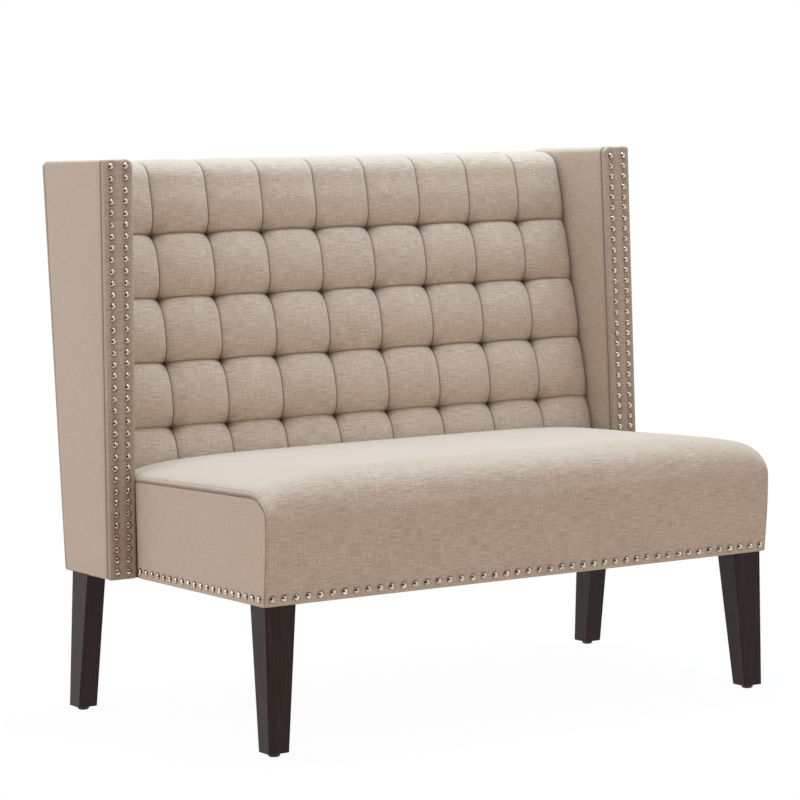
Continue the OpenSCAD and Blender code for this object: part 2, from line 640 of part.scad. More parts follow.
// The path up the face and over the top: the turn of its outward direction from level
roll_turn = 90 - tuft_rake;
roll_run = top_roll_r * tan(roll_turn / 2);
roll_start = [tuft_at(top_base_z) - roll_run * sin(tuft_rake), top_base_z - roll_run * cos(tuft_rake)];
function out_way(a) = [-cos(a), sin(a)];
roll_centre = roll_start - top_roll_r * out_way(tuft_rake);
top_end_y = rear_at(top_base_z) - rear_layers - soft_gap;
face_in_y = tuft_foam_t;
inner_corner = [tuft_at(top_rail_z) + face_in_y, top_rail_z];
roll_turn_shares = [0.3, 0.65, 1];
top_run_shares = [0.5, 1];
top_row_shares = [0, 0.1, 0.34, 0.68];
// Each station is a point of the path, its outward direction, the tuft's height there, how much
// of it a level seam takes and the point of the back face behind it
function face_station(z, s) = [[tuft_at(z), z], tuft_rake, tuft_puff, swell_at(s), [tuft_at(z) + face_in_y, z]];
top_row_z = tuft_row_z(0);
back_stations = concat(
    [for (k = [tuft_rows:-1:1]) for (s = row_shares) face_station(tuft_row_z(k) + s * tuft_row_h, s)],
    [for (s = top_row_shares) face_station(top_row_z + s * (roll_start[1] - top_row_z), min(s * 1.4, 0.5))],
    [[roll_start, tuft_rake, tuft_puff * 0.92, 1, [inner_corner[0] - top_pad_t * tan(tuft_rake),
        inner_corner[1] - top_pad_t]]],
    [for (s = roll_turn_shares) let (a = tuft_rake + s * roll_turn)
        [roll_centre + top_roll_r * out_way(a), a, tuft_puff + (top_puff - tuft_puff) * pow(s, 0.8), 1,
         inner_corner + [(top_end_y - inner_corner[0]) * 0.5 * (s - roll_turn_shares[0]), 0]]],
    [for (s = top_run_shares) [[roll_centre[0] + (top_end_y - roll_centre[0]) * s, top_base_z], 90,
        top_puff * (s < 1 ? 1 : 0.8), 1,
        inner_corner + [(top_end_y - inner_corner[0]) * (0.35 + 0.65 * s), 0]]]);
function tuft_height(rise, level, side) = rise * (level * side + upright_seam_share * (1 - side) * level
    + level_seam_share * side * (1 - level));
// No tie pulls the level seams in beside the wings, so there they turn shallow
wing_level_share = 0.75;
function beside_wing(c) = max(0, c[0] == 0 ? 1 - 2 * c[1] : c[0] == tuft_cols - 1 ? 2 * c[1] - 1 : 0);
function eased(level, c) = level + (1 - level) * wing_level_share * beside_wing(c);
module tufted_back() {
    rows = len(back_stations);
    cols = len(tuft_columns);
    half = floor(cols / 2);
    outer = [for (s = back_stations) for (c = tuft_columns)
        let (h = tuft_height(s[2], eased(s[3], c), swell_at(c[1])), z = s[0][1] + h * sin(s[1]))
        [column_x(c, z), s[0][0] - h * cos(s[1]), z]];
    base = len(outer);
    inner = [for (s = back_stations) for (u = [-1, 1]) [u * (inner_at(s[4][1]) - soft_gap), s[4][0], s[4][1]]];
    function rim(row, flip) = let (a = row * cols, l = base + 2 * row, r = l + 1)
        concat([for (c = [0:half - 1]) flip ? [l, a + c, a + c + 1] : [l, a + c + 1, a + c]],
               [flip ? [l, a + half, r] : [l, r, a + half]],
               [for (c = [half:cols - 2]) flip ? [r, a + c, a + c + 1] : [r, a + c + 1, a + c]]);
    function edge(side, flip) = [for (i = [0:rows - 2])
        let (a = i * cols + (side < 0 ? 0 : cols - 1), b = a + cols, c = base + 2 * i + (side < 0 ? 0 : 1), d = c + 2)
        each flip ? [[a, c, b], [b, c, d]] : [[a, b, c], [b, d, c]]];
    color(fabric_color) polyhedron(points = concat(outer, inner),
        faces = concat(grid_faces(rows, cols, 0, true), grid_faces(rows, 2, base, false),
                       rim(0, true), rim(rows - 1, false), edge(-1, true), edge(1, false)),
        convexity = 10);
}

// Outside back
module rear_board() {
    color("#a98f6a") back_board(frame_z, wing_top_z, frame_back_at, function(z) rear_at(z) - rear_cover_t,
        function(z) -board_out_at(z), function(z) board_out_at(z));
}
module rear_cover() {
    color(fabric_color) back_board(underside_z, bench_h, function(z) rear_at(z) - rear_cover_t,
        function(z) rear_at(z), function(z) -outer_at(z), function(z) outer_at(z));
}

// Wings
board_front_y = wing_y + strip_t;
slot_zs = [0.16, 0.52, 0.92];
module wing_block(side) {
    color(timber_color) mirrored(side) difference() {
        back_board(frame_z, rail_top_z, function(z) board_front_y, function(z) board_at(z),
                   function(z) frame_half, function(z) board_in_at(z));
        frame_hole(frame_half - rail_t, block_bolt_y, seat_bolt_z, 3 * rail_t);
    }
}
module wing_block_left() { wing_block(-1); }
module wing_block_right() { wing_block(1); }
// Two slots with round ends lighten the board, between a foot, a middle and a top
module wing_slot(z0, z1) {
    y = board_front_y + (frame_back_at(z0) - board_front_y) / 2;
    translate([board_in_at(z1) - wing_frame_t, y, z0]) rotate([90, 0, 90]) linear_extrude(3 * wing_frame_t)
        union() {
            translate([-wing_slot_w / 2, wing_slot_w / 2]) square([wing_slot_w, z1 - z0 - wing_slot_w]);
            translate([0, wing_slot_w / 2]) circle(r = wing_slot_w / 2, $fn = 48);
            translate([0, z1 - z0 - wing_slot_w / 2]) circle(r = wing_slot_w / 2, $fn = 48);
        }
}
module wing_frame(side) {
    color(timber_color) mirrored(side) difference() {
        back_board(frame_z, wing_top_z, function(z) board_front_y, frame_back_at,
                   function(z) board_in_at(z), function(z) board_out_at(z));
        wing_slot(underside_z + slot_zs[0] * body_h, underside_z + slot_zs[1] * body_h - back_rail_h);
        wing_slot(underside_z + slot_zs[1] * body_h, underside_z + slot_zs[2] * body_h);
        for (y = [block_bolt_y, upright_bolt_y])
            frame_hole(board_in_at(seat_bolt_z) - bolt_r, y, seat_bolt_z, frame_bolt_d + 2 * bolt_r);
        for (z = upright_bolt_zs)
            frame_hole(board_in_at(z) - bolt_r, upright_mid_at(z), z, frame_bolt_d + 2 * bolt_r);
        bolt_hole(back_bolt_x, back_bolt_y, frame_z - bolt_r, leg_bolt_d + 2 * bolt_r);
    }
}
module wing_frame_left() { wing_frame(-1); }
module wing_frame_right() { wing_frame(1); }
module wing_inside_pad(side) {
    color(fabric_color) mirrored(side) back_board(rail_top_z, wing_top_z, function(z) board_front_y,
        function(z) board_at(z), function(z) inner_at(z), function(z) board_in_at(z));
}
module wing_inside_pad_left() { wing_inside_pad(-1); }
module wing_inside_pad_right() { wing_inside_pad(1); }
// The outside cover turns over the top of the wing and under its foot
edge_turns = [0, 30, 60, 90];
module wing_outside_cover(side) {
    top_x = outer_at(bench_h);
    color(fabric_color) mirrored(side) difference() {
        crossed(concat([[inner_at(underside_z), underside_z], [outer_at(underside_z), underside_z]],
                [for (a = edge_turns) [top_x - wing_edge_r * (1 - cos(a)), bench_h - wing_edge_r * (1 - sin(a))]],
                [[inner_at(bench_h), bench_h], [inner_at(wing_top_z), wing_top_z],
                 [board_out_at(wing_top_z), wing_top_z], [board_out_at(frame_z), frame_z],
                 [inner_at(frame_z), frame_z]]),
                [[board_front_y, underside_z], [rear_at(underside_z) - rear_cover_t, underside_z],
                 [rear_at(bench_h) - rear_cover_t, bench_h], [board_front_y, bench_h]]);
        translate([back_leg_x - back_leg_w - soft_gap, back_leg_front_y - soft_gap, underside_z - dust_t])
            cube([back_leg_w + soft_gap + back_leg_in_x / 2, back_leg_top_d + 2 * soft_gap, 2 * dust_t]);
    }
}
module wing_outside_cover_left() { wing_outside_cover(-1); }
module wing_outside_cover_right() { wing_outside_cover(1); }
// The strip's section has round front edges, and is drawn between the foot and the top
strip_turns = [0, 30, 60, 90];
function strip_section(z) = concat(
    [[inner_at(z), board_front_y]],
    [for (a = strip_turns) [inner_at(z) + strip_r * (1 - cos(a)), wing_y + strip_r * (1 - sin(a))]],
    [for (a = flipped(strip_turns)) [outer_at(z) - strip_r * (1 - cos(a)), wing_y + strip_r * (1 - sin(a))]],
    [[outer_at(z), board_front_y]]);
module wing_front_strip(side) {
    foot = [for (p = strip_section(underside_z)) [p[0], p[1], underside_z]];
    top = [for (p = strip_section(bench_h)) [p[0], p[1], bench_h]];
    n = len(foot);
    color(fabric_color) mirrored(side) polyhedron(points = concat(foot, top),
        faces = concat([for (i = [1:n - 2]) [0, i + 1, i]], [for (i = [1:n - 2]) [n, n + i, n + i + 1]],
                       [for (i = [0:n - 1]) let (j = (i + 1) % n) each [[i, j, n + j], [i, n + j, n + i]]]));
}
module wing_front_strip_left() { wing_front_strip(-1); }
module wing_front_strip_right() { wing_front_strip(1); }
module wing_nails(side) {
    color(nail_color) mirrored(side)
        for (z = spaced(underside_z + nail_in_end, bench_h - nail_in_end, wing_nail_pitch))
            for (x = [inner_at(z) + nail_in_inner, outer_at(z) - nail_in_outer])
                translate([x, wing_y, z]) rotate([90, 0, 0]) nail();
}
module wing_nails_left() { wing_nails(-1); }
module wing_nails_right() { wing_nails(1); }

// Bolts with round heads: two a side through the seat's rail, two through the back's upright
module frame_bolt(x, y, z, length) {
    translate([x, y, z]) rotate([0, 90, 0]) {
        cylinder(r = bolt_r, h = length, $fn = 32);
        translate([0, 0, -bolt_head_h]) cylinder(r = bolt_head_r, h = bolt_head_h, $fn = 32);
    }
}
module frame_bolts() {
    color(steel_color) for (side = [-1, 1]) mirrored(side) {
        for (y = [block_bolt_y, upright_bolt_y])
            frame_bolt(rail_in_x, y, seat_bolt_z, board_in_at(seat_bolt_z) + frame_bolt_d - rail_in_x);
        for (z = upright_bolt_zs)
            frame_bolt(upright_in_at(z) - soft_gap, upright_mid_at(z), z, upright_t + frame_bolt_d);
    }
}

front_leg_left();
front_leg_right();
back_leg_left();
back_leg_right();
leg_glides();
leg_bolts();
leg_nuts();
seat_front_rail();
seat_back_rail();
seat_side_rail_left();
seat_side_rail_right();
rear_stretcher();
corner_blocks();
cross_braces();
seat_springs();
spring_clips();
felt_pad();
seat_foam();
front_edge_pad();
seat_top_cover();
seat_side_cover_left();
seat_side_cover_right();
dust_cover();
seat_front_nails();
seat_side_nails_left();
seat_side_nails_right();
back_upright_left();
back_upright_right();
back_top_rail();
back_middle_rail();
back_bottom_rail();
tuft_board();
tuft_ties();
tufted_back();
rear_board();
rear_cover();
wing_block_left();
wing_block_right();
wing_frame_left();
wing_frame_right();
wing_inside_pad_left();
wing_inside_pad_right();
wing_outside_cover_left();
wing_outside_cover_right();
wing_front_strip_left();
wing_front_strip_right();
wing_nails_left();
wing_nails_right();
frame_bolts();
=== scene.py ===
import json
import math
import random

import bmesh
import bpy
from mathutils import Matrix, Vector


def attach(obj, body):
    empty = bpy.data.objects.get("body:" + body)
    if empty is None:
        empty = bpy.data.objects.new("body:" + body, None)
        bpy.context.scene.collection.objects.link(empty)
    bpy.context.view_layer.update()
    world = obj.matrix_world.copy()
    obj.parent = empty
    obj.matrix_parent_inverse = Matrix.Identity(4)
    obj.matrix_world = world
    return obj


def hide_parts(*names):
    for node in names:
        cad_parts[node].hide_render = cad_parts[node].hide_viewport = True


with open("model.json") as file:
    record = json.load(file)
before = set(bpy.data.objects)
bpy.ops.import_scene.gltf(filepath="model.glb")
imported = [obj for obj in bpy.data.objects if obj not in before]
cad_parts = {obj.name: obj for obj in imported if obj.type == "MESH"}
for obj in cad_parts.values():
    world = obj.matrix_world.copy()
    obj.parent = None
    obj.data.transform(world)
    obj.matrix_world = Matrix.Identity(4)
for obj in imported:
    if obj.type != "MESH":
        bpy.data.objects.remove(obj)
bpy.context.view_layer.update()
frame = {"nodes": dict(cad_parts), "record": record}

scene = bpy.context.scene
nodes = frame["nodes"]
random.seed(11)

# where the camera stood, in metres and degrees: the model's corners meet the photo's there
shot = {"place": (-3.0489, -4.8014, 1.0453), "yaw": 32.060, "pitch": -4.739, "roll": 1.287,
        "lens": 133.56, "sensor": 36, "far": 60}

# planes that the covers share, in metres; the wings and the back lean in proportion to the height
# a point within near of a plane counts as on it, and the seat's covers end seatGap before the wings
bench = {"half": 0.610, "foot": 0.267, "top": 1.048, "lean": 0.011,
         "rimLeft": 1.0465, "rimRight": 1.0505, "backLeft": 1.0430, "backRight": 1.0455,
         "wingFoot": 0.055, "wingTop": 0.0615, "wingFront": 0.118, "strip": 0.012,
         "rearFoot": 0.310, "rearTop": 0.379, "seatGap": 0.0004, "near": 0.001}
bothSides = ((-1, "Left"), (1, "Right"))


def upShare(z):
    # 0 at the covers' foot and 1 at the top of the back
    return (z - bench["foot"]) / (bench["top"] - bench["foot"])


def outerAt(z):
    return bench["half"] - bench["lean"] * upShare(z)


def innerAt(z):
    return outerAt(z) - bench["wingFoot"] - (bench["wingTop"] - bench["wingFoot"]) * upShare(z)


def rearAt(z):
    return bench["rearFoot"] + (bench["rearTop"] - bench["rearFoot"]) * upShare(z)


def mix(a, b, share):
    return a + (b - a) * share


def ease(low, high, value):
    # 0 up to low and 1 from high on, with a soft start and end
    t = min(1.0, max(0.0, (value - low) / (high - low)))
    return t * t * (3 - 2 * t)


def fading(height, width, near):
    # full on the seam itself and gone a few widths away
    return height * math.exp(-(near / width) ** 2)


# materials


def toLinear(hexColor):
    # an sRGB hex colour as linear light
    parts = [int(hexColor[i:i + 2], 16) / 255 for i in (1, 3, 5)]
    return [c / 12.92 if c <= 0.04045 else ((c + 0.055) / 1.055) ** 2.4 for c in parts] + [1.0]


def addNode(tree, kind, inputs=None, stops=(), **settings):
    # inputs are values or other nodes' sockets, and stops are a ramp's places and colours from low to high
    # a colour mix takes its two colours at sockets 6 and 7, and gives the result at 2
    node = tree.nodes.new("ShaderNode" + kind)
    for key, value in settings.items():
        setattr(node, key, value)
    for key, value in (inputs or {}).items():
        if isinstance(value, bpy.types.NodeSocket):
            tree.links.new(value, node.inputs[key])
        else:
            node.inputs[key].default_value = value
    for place, color in stops[1:-1]:
        node.color_ramp.elements.new(place)
    for index, (place, color) in enumerate(stops):
        node.color_ramp.elements[index].position = place
        node.color_ramp.elements[index].color = toLinear(color)
    return node


def startMaterial(name, **shaderValues):
    material = bpy.data.materials.new(name)
    material.use_nodes = True
    tree = material.node_tree
    tree.nodes.clear()
    shader = addNode(tree, "BsdfPrincipled", {key.replace("_", " "): v for key, v in shaderValues.items()})
    addNode(tree, "OutputMaterial", {"Surface": shader.outputs["BSDF"]})
    return material, tree, shader


# the cloth's colours, the last of them the painted shade's, its real pattern sizes in metres, and how much
# each pattern counts
linen = {"dark": "#a89683", "ground": "#c1af9d", "pale": "#d6c8b9", "shadeColour": "#4a3527",
         "thread": 0.0014, "slub": 0.028, "speck": 0.0025, "cloud": 0.11, "relief": 0.00035,
         "weftShare": 0.52, "warpShare": 0.30, "speckShare": 0.12, "cloudShare": 0.06,
         "napFrom": 0.30, "napTo": 0.62, "napped": 0.8}


def linenWeave(name, coordinate):
    # linen-look polyester, plain woven: uneven slubs run both ways and the nap scatters the light
    # the threads are drawn about three times too coarse, because real ones are too fine to show
    # at a glancing angle the nap hides them
    material, tree, shader = startMaterial(name, Roughness=0.92, Sheen_Weight=0.25, Sheen_Roughness=0.4,
                                           Specular_IOR_Level=0.25)
    where = addNode(tree, "TexCoord").outputs[coordinate]
    fine, run = 1 / linen["thread"], 1 / linen["slub"]
    threads = {"Scale": 1.0, "Detail": 3.0, "Roughness": 0.6}
    weftWay = addNode(tree, "Mapping", {"Vector": where, "Scale": (run, fine, fine)})
    weft = addNode(tree, "TexNoise", {"Vector": weftWay.outputs[0], **threads})
    warpWay = addNode(tree, "Mapping", {"Vector": where, "Scale": (fine, run, run),
                                        "Location": (3.7, 1.3, 0.0)})
    warp = addNode(tree, "TexNoise", {"Vector": warpWay.outputs[0], **threads})
    speck = addNode(tree, "TexNoise", {"Vector": where, "Scale": 1 / linen["speck"], "Detail": 2.0,
                                       "Roughness": 0.7})
    cloud = addNode(tree, "TexNoise", {"Vector": where, "Scale": 1 / linen["cloud"], "Detail": 2.0})
    weave = addNode(tree, "Math", {0: weft.outputs["Fac"], 1: linen["weftShare"]}, operation="MULTIPLY")
    for part, share in ((warp, "warpShare"), (speck, "speckShare"), (cloud, "cloudShare")):
        weave = addNode(tree, "Math", {0: part.outputs["Fac"], 1: linen[share], 2: weave.outputs[0]},
                        operation="MULTIPLY_ADD")
    thread = addNode(tree, "ValToRGB", {"Fac": weave.outputs[0]},
                     [(0.38, linen["dark"]), (0.50, linen["ground"]), (0.62, linen["pale"])])
    glance = addNode(tree, "LayerWeight", {"Blend": 0.5}).outputs["Facing"]
    nap = addNode(tree, "MapRange", {"Value": glance, "From Min": linen["napFrom"],
                                     "From Max": linen["napTo"], "To Max": linen["napped"]})
    cloth = addNode(tree, "Mix", {0: nap.outputs[0], 6: thread.outputs["Color"],
                                  7: toLinear(linen["ground"])}, data_type="RGBA")
    # painted shade: the crease attribute mixes the cloth towards the painted shade colour in seams, pits and
    # beside the nails
    creaseShade = addNode(tree, "Attribute", attribute_name="creaseShade")
    shade = addNode(tree, "Mix", {0: creaseShade.outputs["Fac"], 6: cloth.outputs[2],
                                  7: toLinear(linen["shadeColour"])}, data_type="RGBA")
    tree.links.new(shade.outputs[2], shader.inputs["Base Color"])
    bump = addNode(tree, "Bump", {"Height": weave.outputs[0], "Strength": 0.6, "Distance": linen["relief"]})
    tree.links.new(bump.outputs[0], shader.inputs["Normal"])
    return material


def espressoBeech():
    # beech stained espresso under satin lacquer: almost black brown, faint upright grain, a soft sheen
    material, tree, shader = startMaterial("espressoBeech", Roughness=0.38, Specular_IOR_Level=0.2)
    where = addNode(tree, "TexCoord").outputs["Object"]
    way = addNode(tree, "Mapping", {"Vector": where, "Scale": (1 / 0.0035, 1 / 0.0035, 1 / 0.09)})
    grain = addNode(tree, "TexNoise", {"Vector": way.outputs[0], "Scale": 1.0, "Detail": 4.0,
                                       "Distortion": 0.4})
    stain = addNode(tree, "ValToRGB", {"Fac": grain.outputs["Fac"]},
                    [(0.3, "#1b100e"), (0.5, "#281916"), (0.7, "#35231f")])
    tree.links.new(stain.outputs["Color"], shader.inputs["Base Color"])
    bump = addNode(tree, "Bump", {"Height": grain.outputs["Fac"], "Strength": 0.15, "Distance": 0.0003})
    tree.links.new(bump.outputs[0], shader.inputs["Normal"])
    return material


def agedNickel():
    # nickel-plated steel nails with an antique wash: warm, bright domes with worn patches, and a dark rim
    # that is painted shade where the head meets the cloth, with some wash settled there
    material, tree, shader = startMaterial("agedNickel", Metallic=1.0, Roughness=0.17)
    where = addNode(tree, "TexCoord").outputs["Object"]
    patina = addNode(tree, "TexNoise", {"Vector": where, "Scale": 1 / 0.004, "Detail": 3.0, "Roughness": 0.6})
    nickel = addNode(tree, "ValToRGB", {"Fac": patina.outputs["Fac"]},
                     [(0.35, "#917c6b"), (0.5, "#cbb8a6"), (0.62, "#e6d7c9")])
    # the rim's painted shade
    rimShade = addNode(tree, "Attribute", attribute_name="rimShade")
    shade = addNode(tree, "Mix", {0: rimShade.outputs["Fac"], 6: nickel.outputs["Color"],
                                  7: toLinear("#43362a")}, data_type="RGBA")
    tree.links.new(shade.outputs[2], shader.inputs["Base Color"])
    bump = addNode(tree, "Bump", {"Height": patina.outputs["Fac"], "Strength": 0.2, "Distance": 0.0003})
    tree.links.new(bump.outputs[0], shader.inputs["Normal"])
    return material


def plainStuff(name, low, high, grain, stretch=(1, 1, 1), **shaderValues):
    # hidden and small stuff: two tones of one colour in a pattern of the given size in metres
    material, tree, shader = startMaterial(name, **shaderValues)
    where = addNode(tree, "TexCoord").outputs["Object"]
    way = addNode(tree, "Mapping", {"Vector": where, "Scale": [s / grain for s in stretch]})
    noise = addNode(tree, "TexNoise", {"Vector": way.outputs[0], "Scale": 1.0, "Detail": 3.0})
    tones = addNode(tree, "ValToRGB", {"Fac": noise.outputs["Fac"]}, [(0.35, low), (0.65, high)])
    tree.links.new(tones.outputs["Color"], shader.inputs["Base Color"])
    bump = addNode(tree, "Bump", {"Height": noise.outputs["Fac"], "Strength": 0.2, "Distance": 0.0004})
    tree.links.new(bump.outputs[0], shader.inputs["Normal"])
    return material


linenCloth = linenWeave("linenCloth", "UV")
linenSolid = linenWeave("linenSolid", "Object")
stitchThread = plainStuff("stitchThread", "#a7967f", "#c4b49d", 0.002, Roughness=0.8)
slotFinish = {
    "upholstery": linenSolid,
    "foam": plainStuff("creamFoam", "#e3d8b6", "#efe7cf", 0.002, Roughness=0.95),
    "felt": plainStuff("needledFelt", "#83807a", "#9b9891", 0.003, Roughness=1.0),
    "dust_cloth": plainStuff("blackNonWoven", "#1b1b1d", "#2d2d30", 0.0025, Roughness=0.95),
    "frame_timber": plainStuff("planedPine", "#b8935f", "#d2b285", 0.006, (1, 1, 0.1), Roughness=0.7),
    "plywood": plainStuff("birchPly", "#c3a273", "#dcc198", 0.008, (0.15, 1, 1), Roughness=0.65),
    "leg_timber": espressoBeech(),
    "nail_heads": agedNickel(),
    "spring_steel": plainStuff("drawnWire", "#5f6163", "#8b8d8f", 0.004, Metallic=1.0, Roughness=0.4),
    "bolt_steel": plainStuff("zincPlate", "#8f9293", "#b9bcbd", 0.003, Metallic=1.0, Roughness=0.35),
    "tie_washers": plainStuff("creamNylon", "#d9d3c2", "#e8e3d5", 0.004, Roughness=0.5),
    "glide_plastic": plainStuff("blackNylon", "#141414", "#232323", 0.002, Roughness=0.55),
}
for part in frame["record"]["subparts"]:
    mesh = nodes[part["node"]].data
    mesh.materials.clear()
    mesh.materials.append(slotFinish[part["material_slot"]])
print("materials made")


# making and finishing pieces


def keep(bm, name, material, replaced, smooth=True, levels=0):
    # makes the mesh a piece that rides on the bench and stands for the replaced CAD nodes
    mesh = bpy.data.meshes.new(name)
    bm.to_mesh(mesh)
    bm.free()
    for polygon in mesh.polygons:
        polygon.use_smooth = smooth
    mesh.materials.append(material)
    piece = bpy.data.objects.new(name, mesh)
    scene.collection.objects.link(piece)
    if levels:
        rounder = piece.modifiers.new("rounder", "SUBSURF")
        rounder.levels = rounder.render_levels = levels
    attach(piece, "root")
    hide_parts(*replaced)
    return piece


def openPanel(cells, place, facing):
    # a sheet of cells; place turns its shares across and along into a point, a spot on the cloth
    # and the darkness of the painted shade there
    bm = bmesh.new()
    bmesh.ops.create_grid(bm, x_segments=cells[0], y_segments=cells[1], size=0.5)
    cloth = bm.loops.layers.uv.new("cloth")
    creaseShade = bm.verts.layers.float.new("creaseShade")
    width = 2 * max(v.co.x for v in bm.verts)
    spots = {}
    for vert in bm.verts:
        point, spots[vert], vert[creaseShade] = place(vert.co.x / width + 0.5, vert.co.y / width + 0.5)
        vert.co = point
    for face in bm.faces:
        for loop in face.loops:
            loop[cloth].uv = spots[loop.vert]
    bm.normal_update()
    if sum(face.normal.dot(facing) * face.calc_area() for face in bm.faces) < 0:
        bmesh.ops.reverse_faces(bm, faces=bm.faces)
        bm.normal_update()
    return bm


def closeBehind(bm, rear):
    # turns the sheet's edge back to where rear sends it, from a point and its normal, and closes it behind
    rim = [edge for edge in bm.edges if edge.is_boundary]
    facing = {vert: vert.normal.copy() for edge in rim for vert in edge.verts}
    made = bmesh.ops.extrude_edge_only(bm, edges=rim)["geom"]
    fresh = {item for item in made if isinstance(item, bmesh.types.BMVert)}
    for vert in fresh:
        parent = next(edge.other_vert(vert) for edge in vert.link_edges if edge.other_vert(vert) not in fresh)
        vert.co = rear(parent.co, facing[parent])
    bmesh.ops.triangle_fill(bm, edges=[edge for edge in bm.edges if edge.is_boundary], use_beauty=False)
    bmesh.ops.recalc_face_normals(bm, faces=bm.faces)


def inward(depth):
    return lambda point, normal: point - normal * depth


def inflate(bm, hold, values):
    # pressure swells the sheet between its sewn points; each point may move no further than the cap
    mesh = bpy.data.meshes.new("swelling")
    bm.to_mesh(mesh)
    sheet = bpy.data.objects.new("swelling", mesh)
    scene.collection.objects.link(sheet)
    sewn = sheet.vertex_groups.new(name="sewn")
    for index, weight in enumerate(hold):
        if weight > 0:
            sewn.add([index], weight, "REPLACE")
    cloth = sheet.modifiers.new("cloth", "CLOTH")
    settings = cloth.settings
    settings.vertex_group_mass = "sewn"
    settings.quality = 5
    settings.tension_stiffness = settings.compression_stiffness = values["stiffness"]
    settings.shear_stiffness = values["stiffness"] / 2
    settings.bending_stiffness = values["bending"]
    settings.use_pressure = True
    settings.uniform_pressure_force = values["pressure"]
    settings.shrink_min = 0
    settings.effector_weights.gravity = 0
    cloth.collision_settings.use_collision = False
    cloth.point_cache.frame_start = 1
    cloth.point_cache.frame_end = values["frames"]
    for number in range(1, values["frames"] + 1):
        scene.frame_set(number)
    swollen = sheet.evaluated_get(bpy.context.evaluated_depsgraph_get()).data
    bm.verts.ensure_lookup_table()
    furthest = 0
    for vert, after in zip(bm.verts, swollen.vertices):
        step = after.co - vert.co
        furthest = max(furthest, step.length)
        if step.length > values["cap"]:
            step *= values["cap"] / step.length
        vert.co += step * (1 - hold[vert.index])
    scene.frame_set(1)
    bpy.data.objects.remove(sheet)
    bpy.data.meshes.remove(mesh)
    bm.normal_update()
    print("swelled, furthest %.1f mm" % (furthest * 1000))


def cornered(corners, rounds, cuts=(), sharp=0.6):
    # a block with its eight corners placed, chosen edges rounded in turn, and cuts across X, Y and Z
    # only edges that turn by more than sharp, in radians, are rounded
    bm = bmesh.new()
    bmesh.ops.create_cube(bm, size=2.0)
    for vert in bm.verts:
        vert.co = corners(*(0 if c < 0 else 1 for c in vert.co))
    for chosen, radius, segments in rounds:
        bm.normal_update()
        picked = [edge for edge in bm.edges if chosen((edge.verts[0].co + edge.verts[1].co) / 2,
                                                      edge.verts[0].co - edge.verts[1].co)
                  and edge.calc_face_angle(0) > sharp]
        bmesh.ops.bevel(bm, geom=picked, offset=radius, offset_type="OFFSET", affect="EDGES",
                        segments=segments, profile=0.5, material=-1)
    for axis, places in enumerate(cuts):
        normal = Vector([1.0 if i == axis else 0.0 for i in range(3)])
        for value in places:
            bmesh.ops.bisect_plane(bm, geom=bm.verts[:] + bm.edges[:] + bm.faces[:], plane_co=normal * value,
                                   plane_no=normal, dist=1e-6)
    bm.normal_update()
    return bm


def wrapCloth(bm, shaded=lambda point: 0):
    # points the faces outwards, lays the weave on each from the side that it looks to, and stores the painted
    # shade that shaded gives at each point
    bmesh.ops.recalc_face_normals(bm, faces=bm.faces)
    cloth = bm.loops.layers.uv.new("cloth")
    creaseShade = bm.verts.layers.float.new("creaseShade")
    for vert in bm.verts:
        vert[creaseShade] = shaded(vert.co)
    for face in bm.faces:
        n = [abs(c) for c in face.normal]
        for loop in face.loops:
            p = loop.vert.co
            if n[0] >= max(n[1], n[2]):
                loop[cloth].uv = (p.y, p.z)
            elif n[1] >= n[2]:
                loop[cloth].uv = (p.x, p.z)
            else:
                loop[cloth].uv = (p.x, p.y)


def steps(low, high, pitch):
    # even places from low to high, about a pitch apart
    count = max(1, round((high - low) / pitch))
    return [low + (high - low) * i / count for i in range(count + 1)]


def repeated(places, around, down, rimShadeHeights=(0.15, 0.60)):
    # one small ball, made once and added to the mesh at each place
    # the dark rim, painted shade where the head meets the cloth, is full up to the first given height and
    # gone from the second on
    ball = bmesh.new()
    bmesh.ops.create_uvsphere(ball, u_segments=around, v_segments=down, radius=1.0)
    rimShade = ball.verts.layers.float.new("rimShade")
    for vert in ball.verts:
        vert[rimShade] = 1 - ease(*rimShadeHeights, vert.co.z)
    shape = bpy.data.meshes.new("shape")
    ball.to_mesh(shape)
    ball.free()
    bm = bmesh.new()
    for place in places:
        placed = shape.copy()
        placed.transform(place)
        bm.from_mesh(placed)
        bpy.data.meshes.remove(placed)
    bpy.data.meshes.remove(shape)
    return bm


# a stitch's half length, width and height, and the pitch of a row of them
stitch = {"half": (0.0015, 0.00045, 0.00035), "pitch": 0.0042, "around": 6, "down": 4}


def stitches(name, lines):
    # small threads sunk along each line, given as points with the way that the cloth faces
    size = Matrix.Diagonal((*stitch["half"], 1))
    places = []
    for line in lines:
        run = 0
        for (a, facing), (b, _) in zip(line, line[1:]):
            length = (b - a).length
            way = (b - a).normalized()
            turn = Matrix((way, facing.cross(way).normalized(), facing)).transposed().to_4x4()
            while run < length:
                places.append(Matrix.Translation(a + way * run) @ turn @ size)
                run += stitch["pitch"]
            run -= length
    return keep(repeated(places, stitch["around"], stitch["down"]), name, stitchThread, [])


# the seat's crowned cover, one sheet from its hem under the front edge to the tuck behind

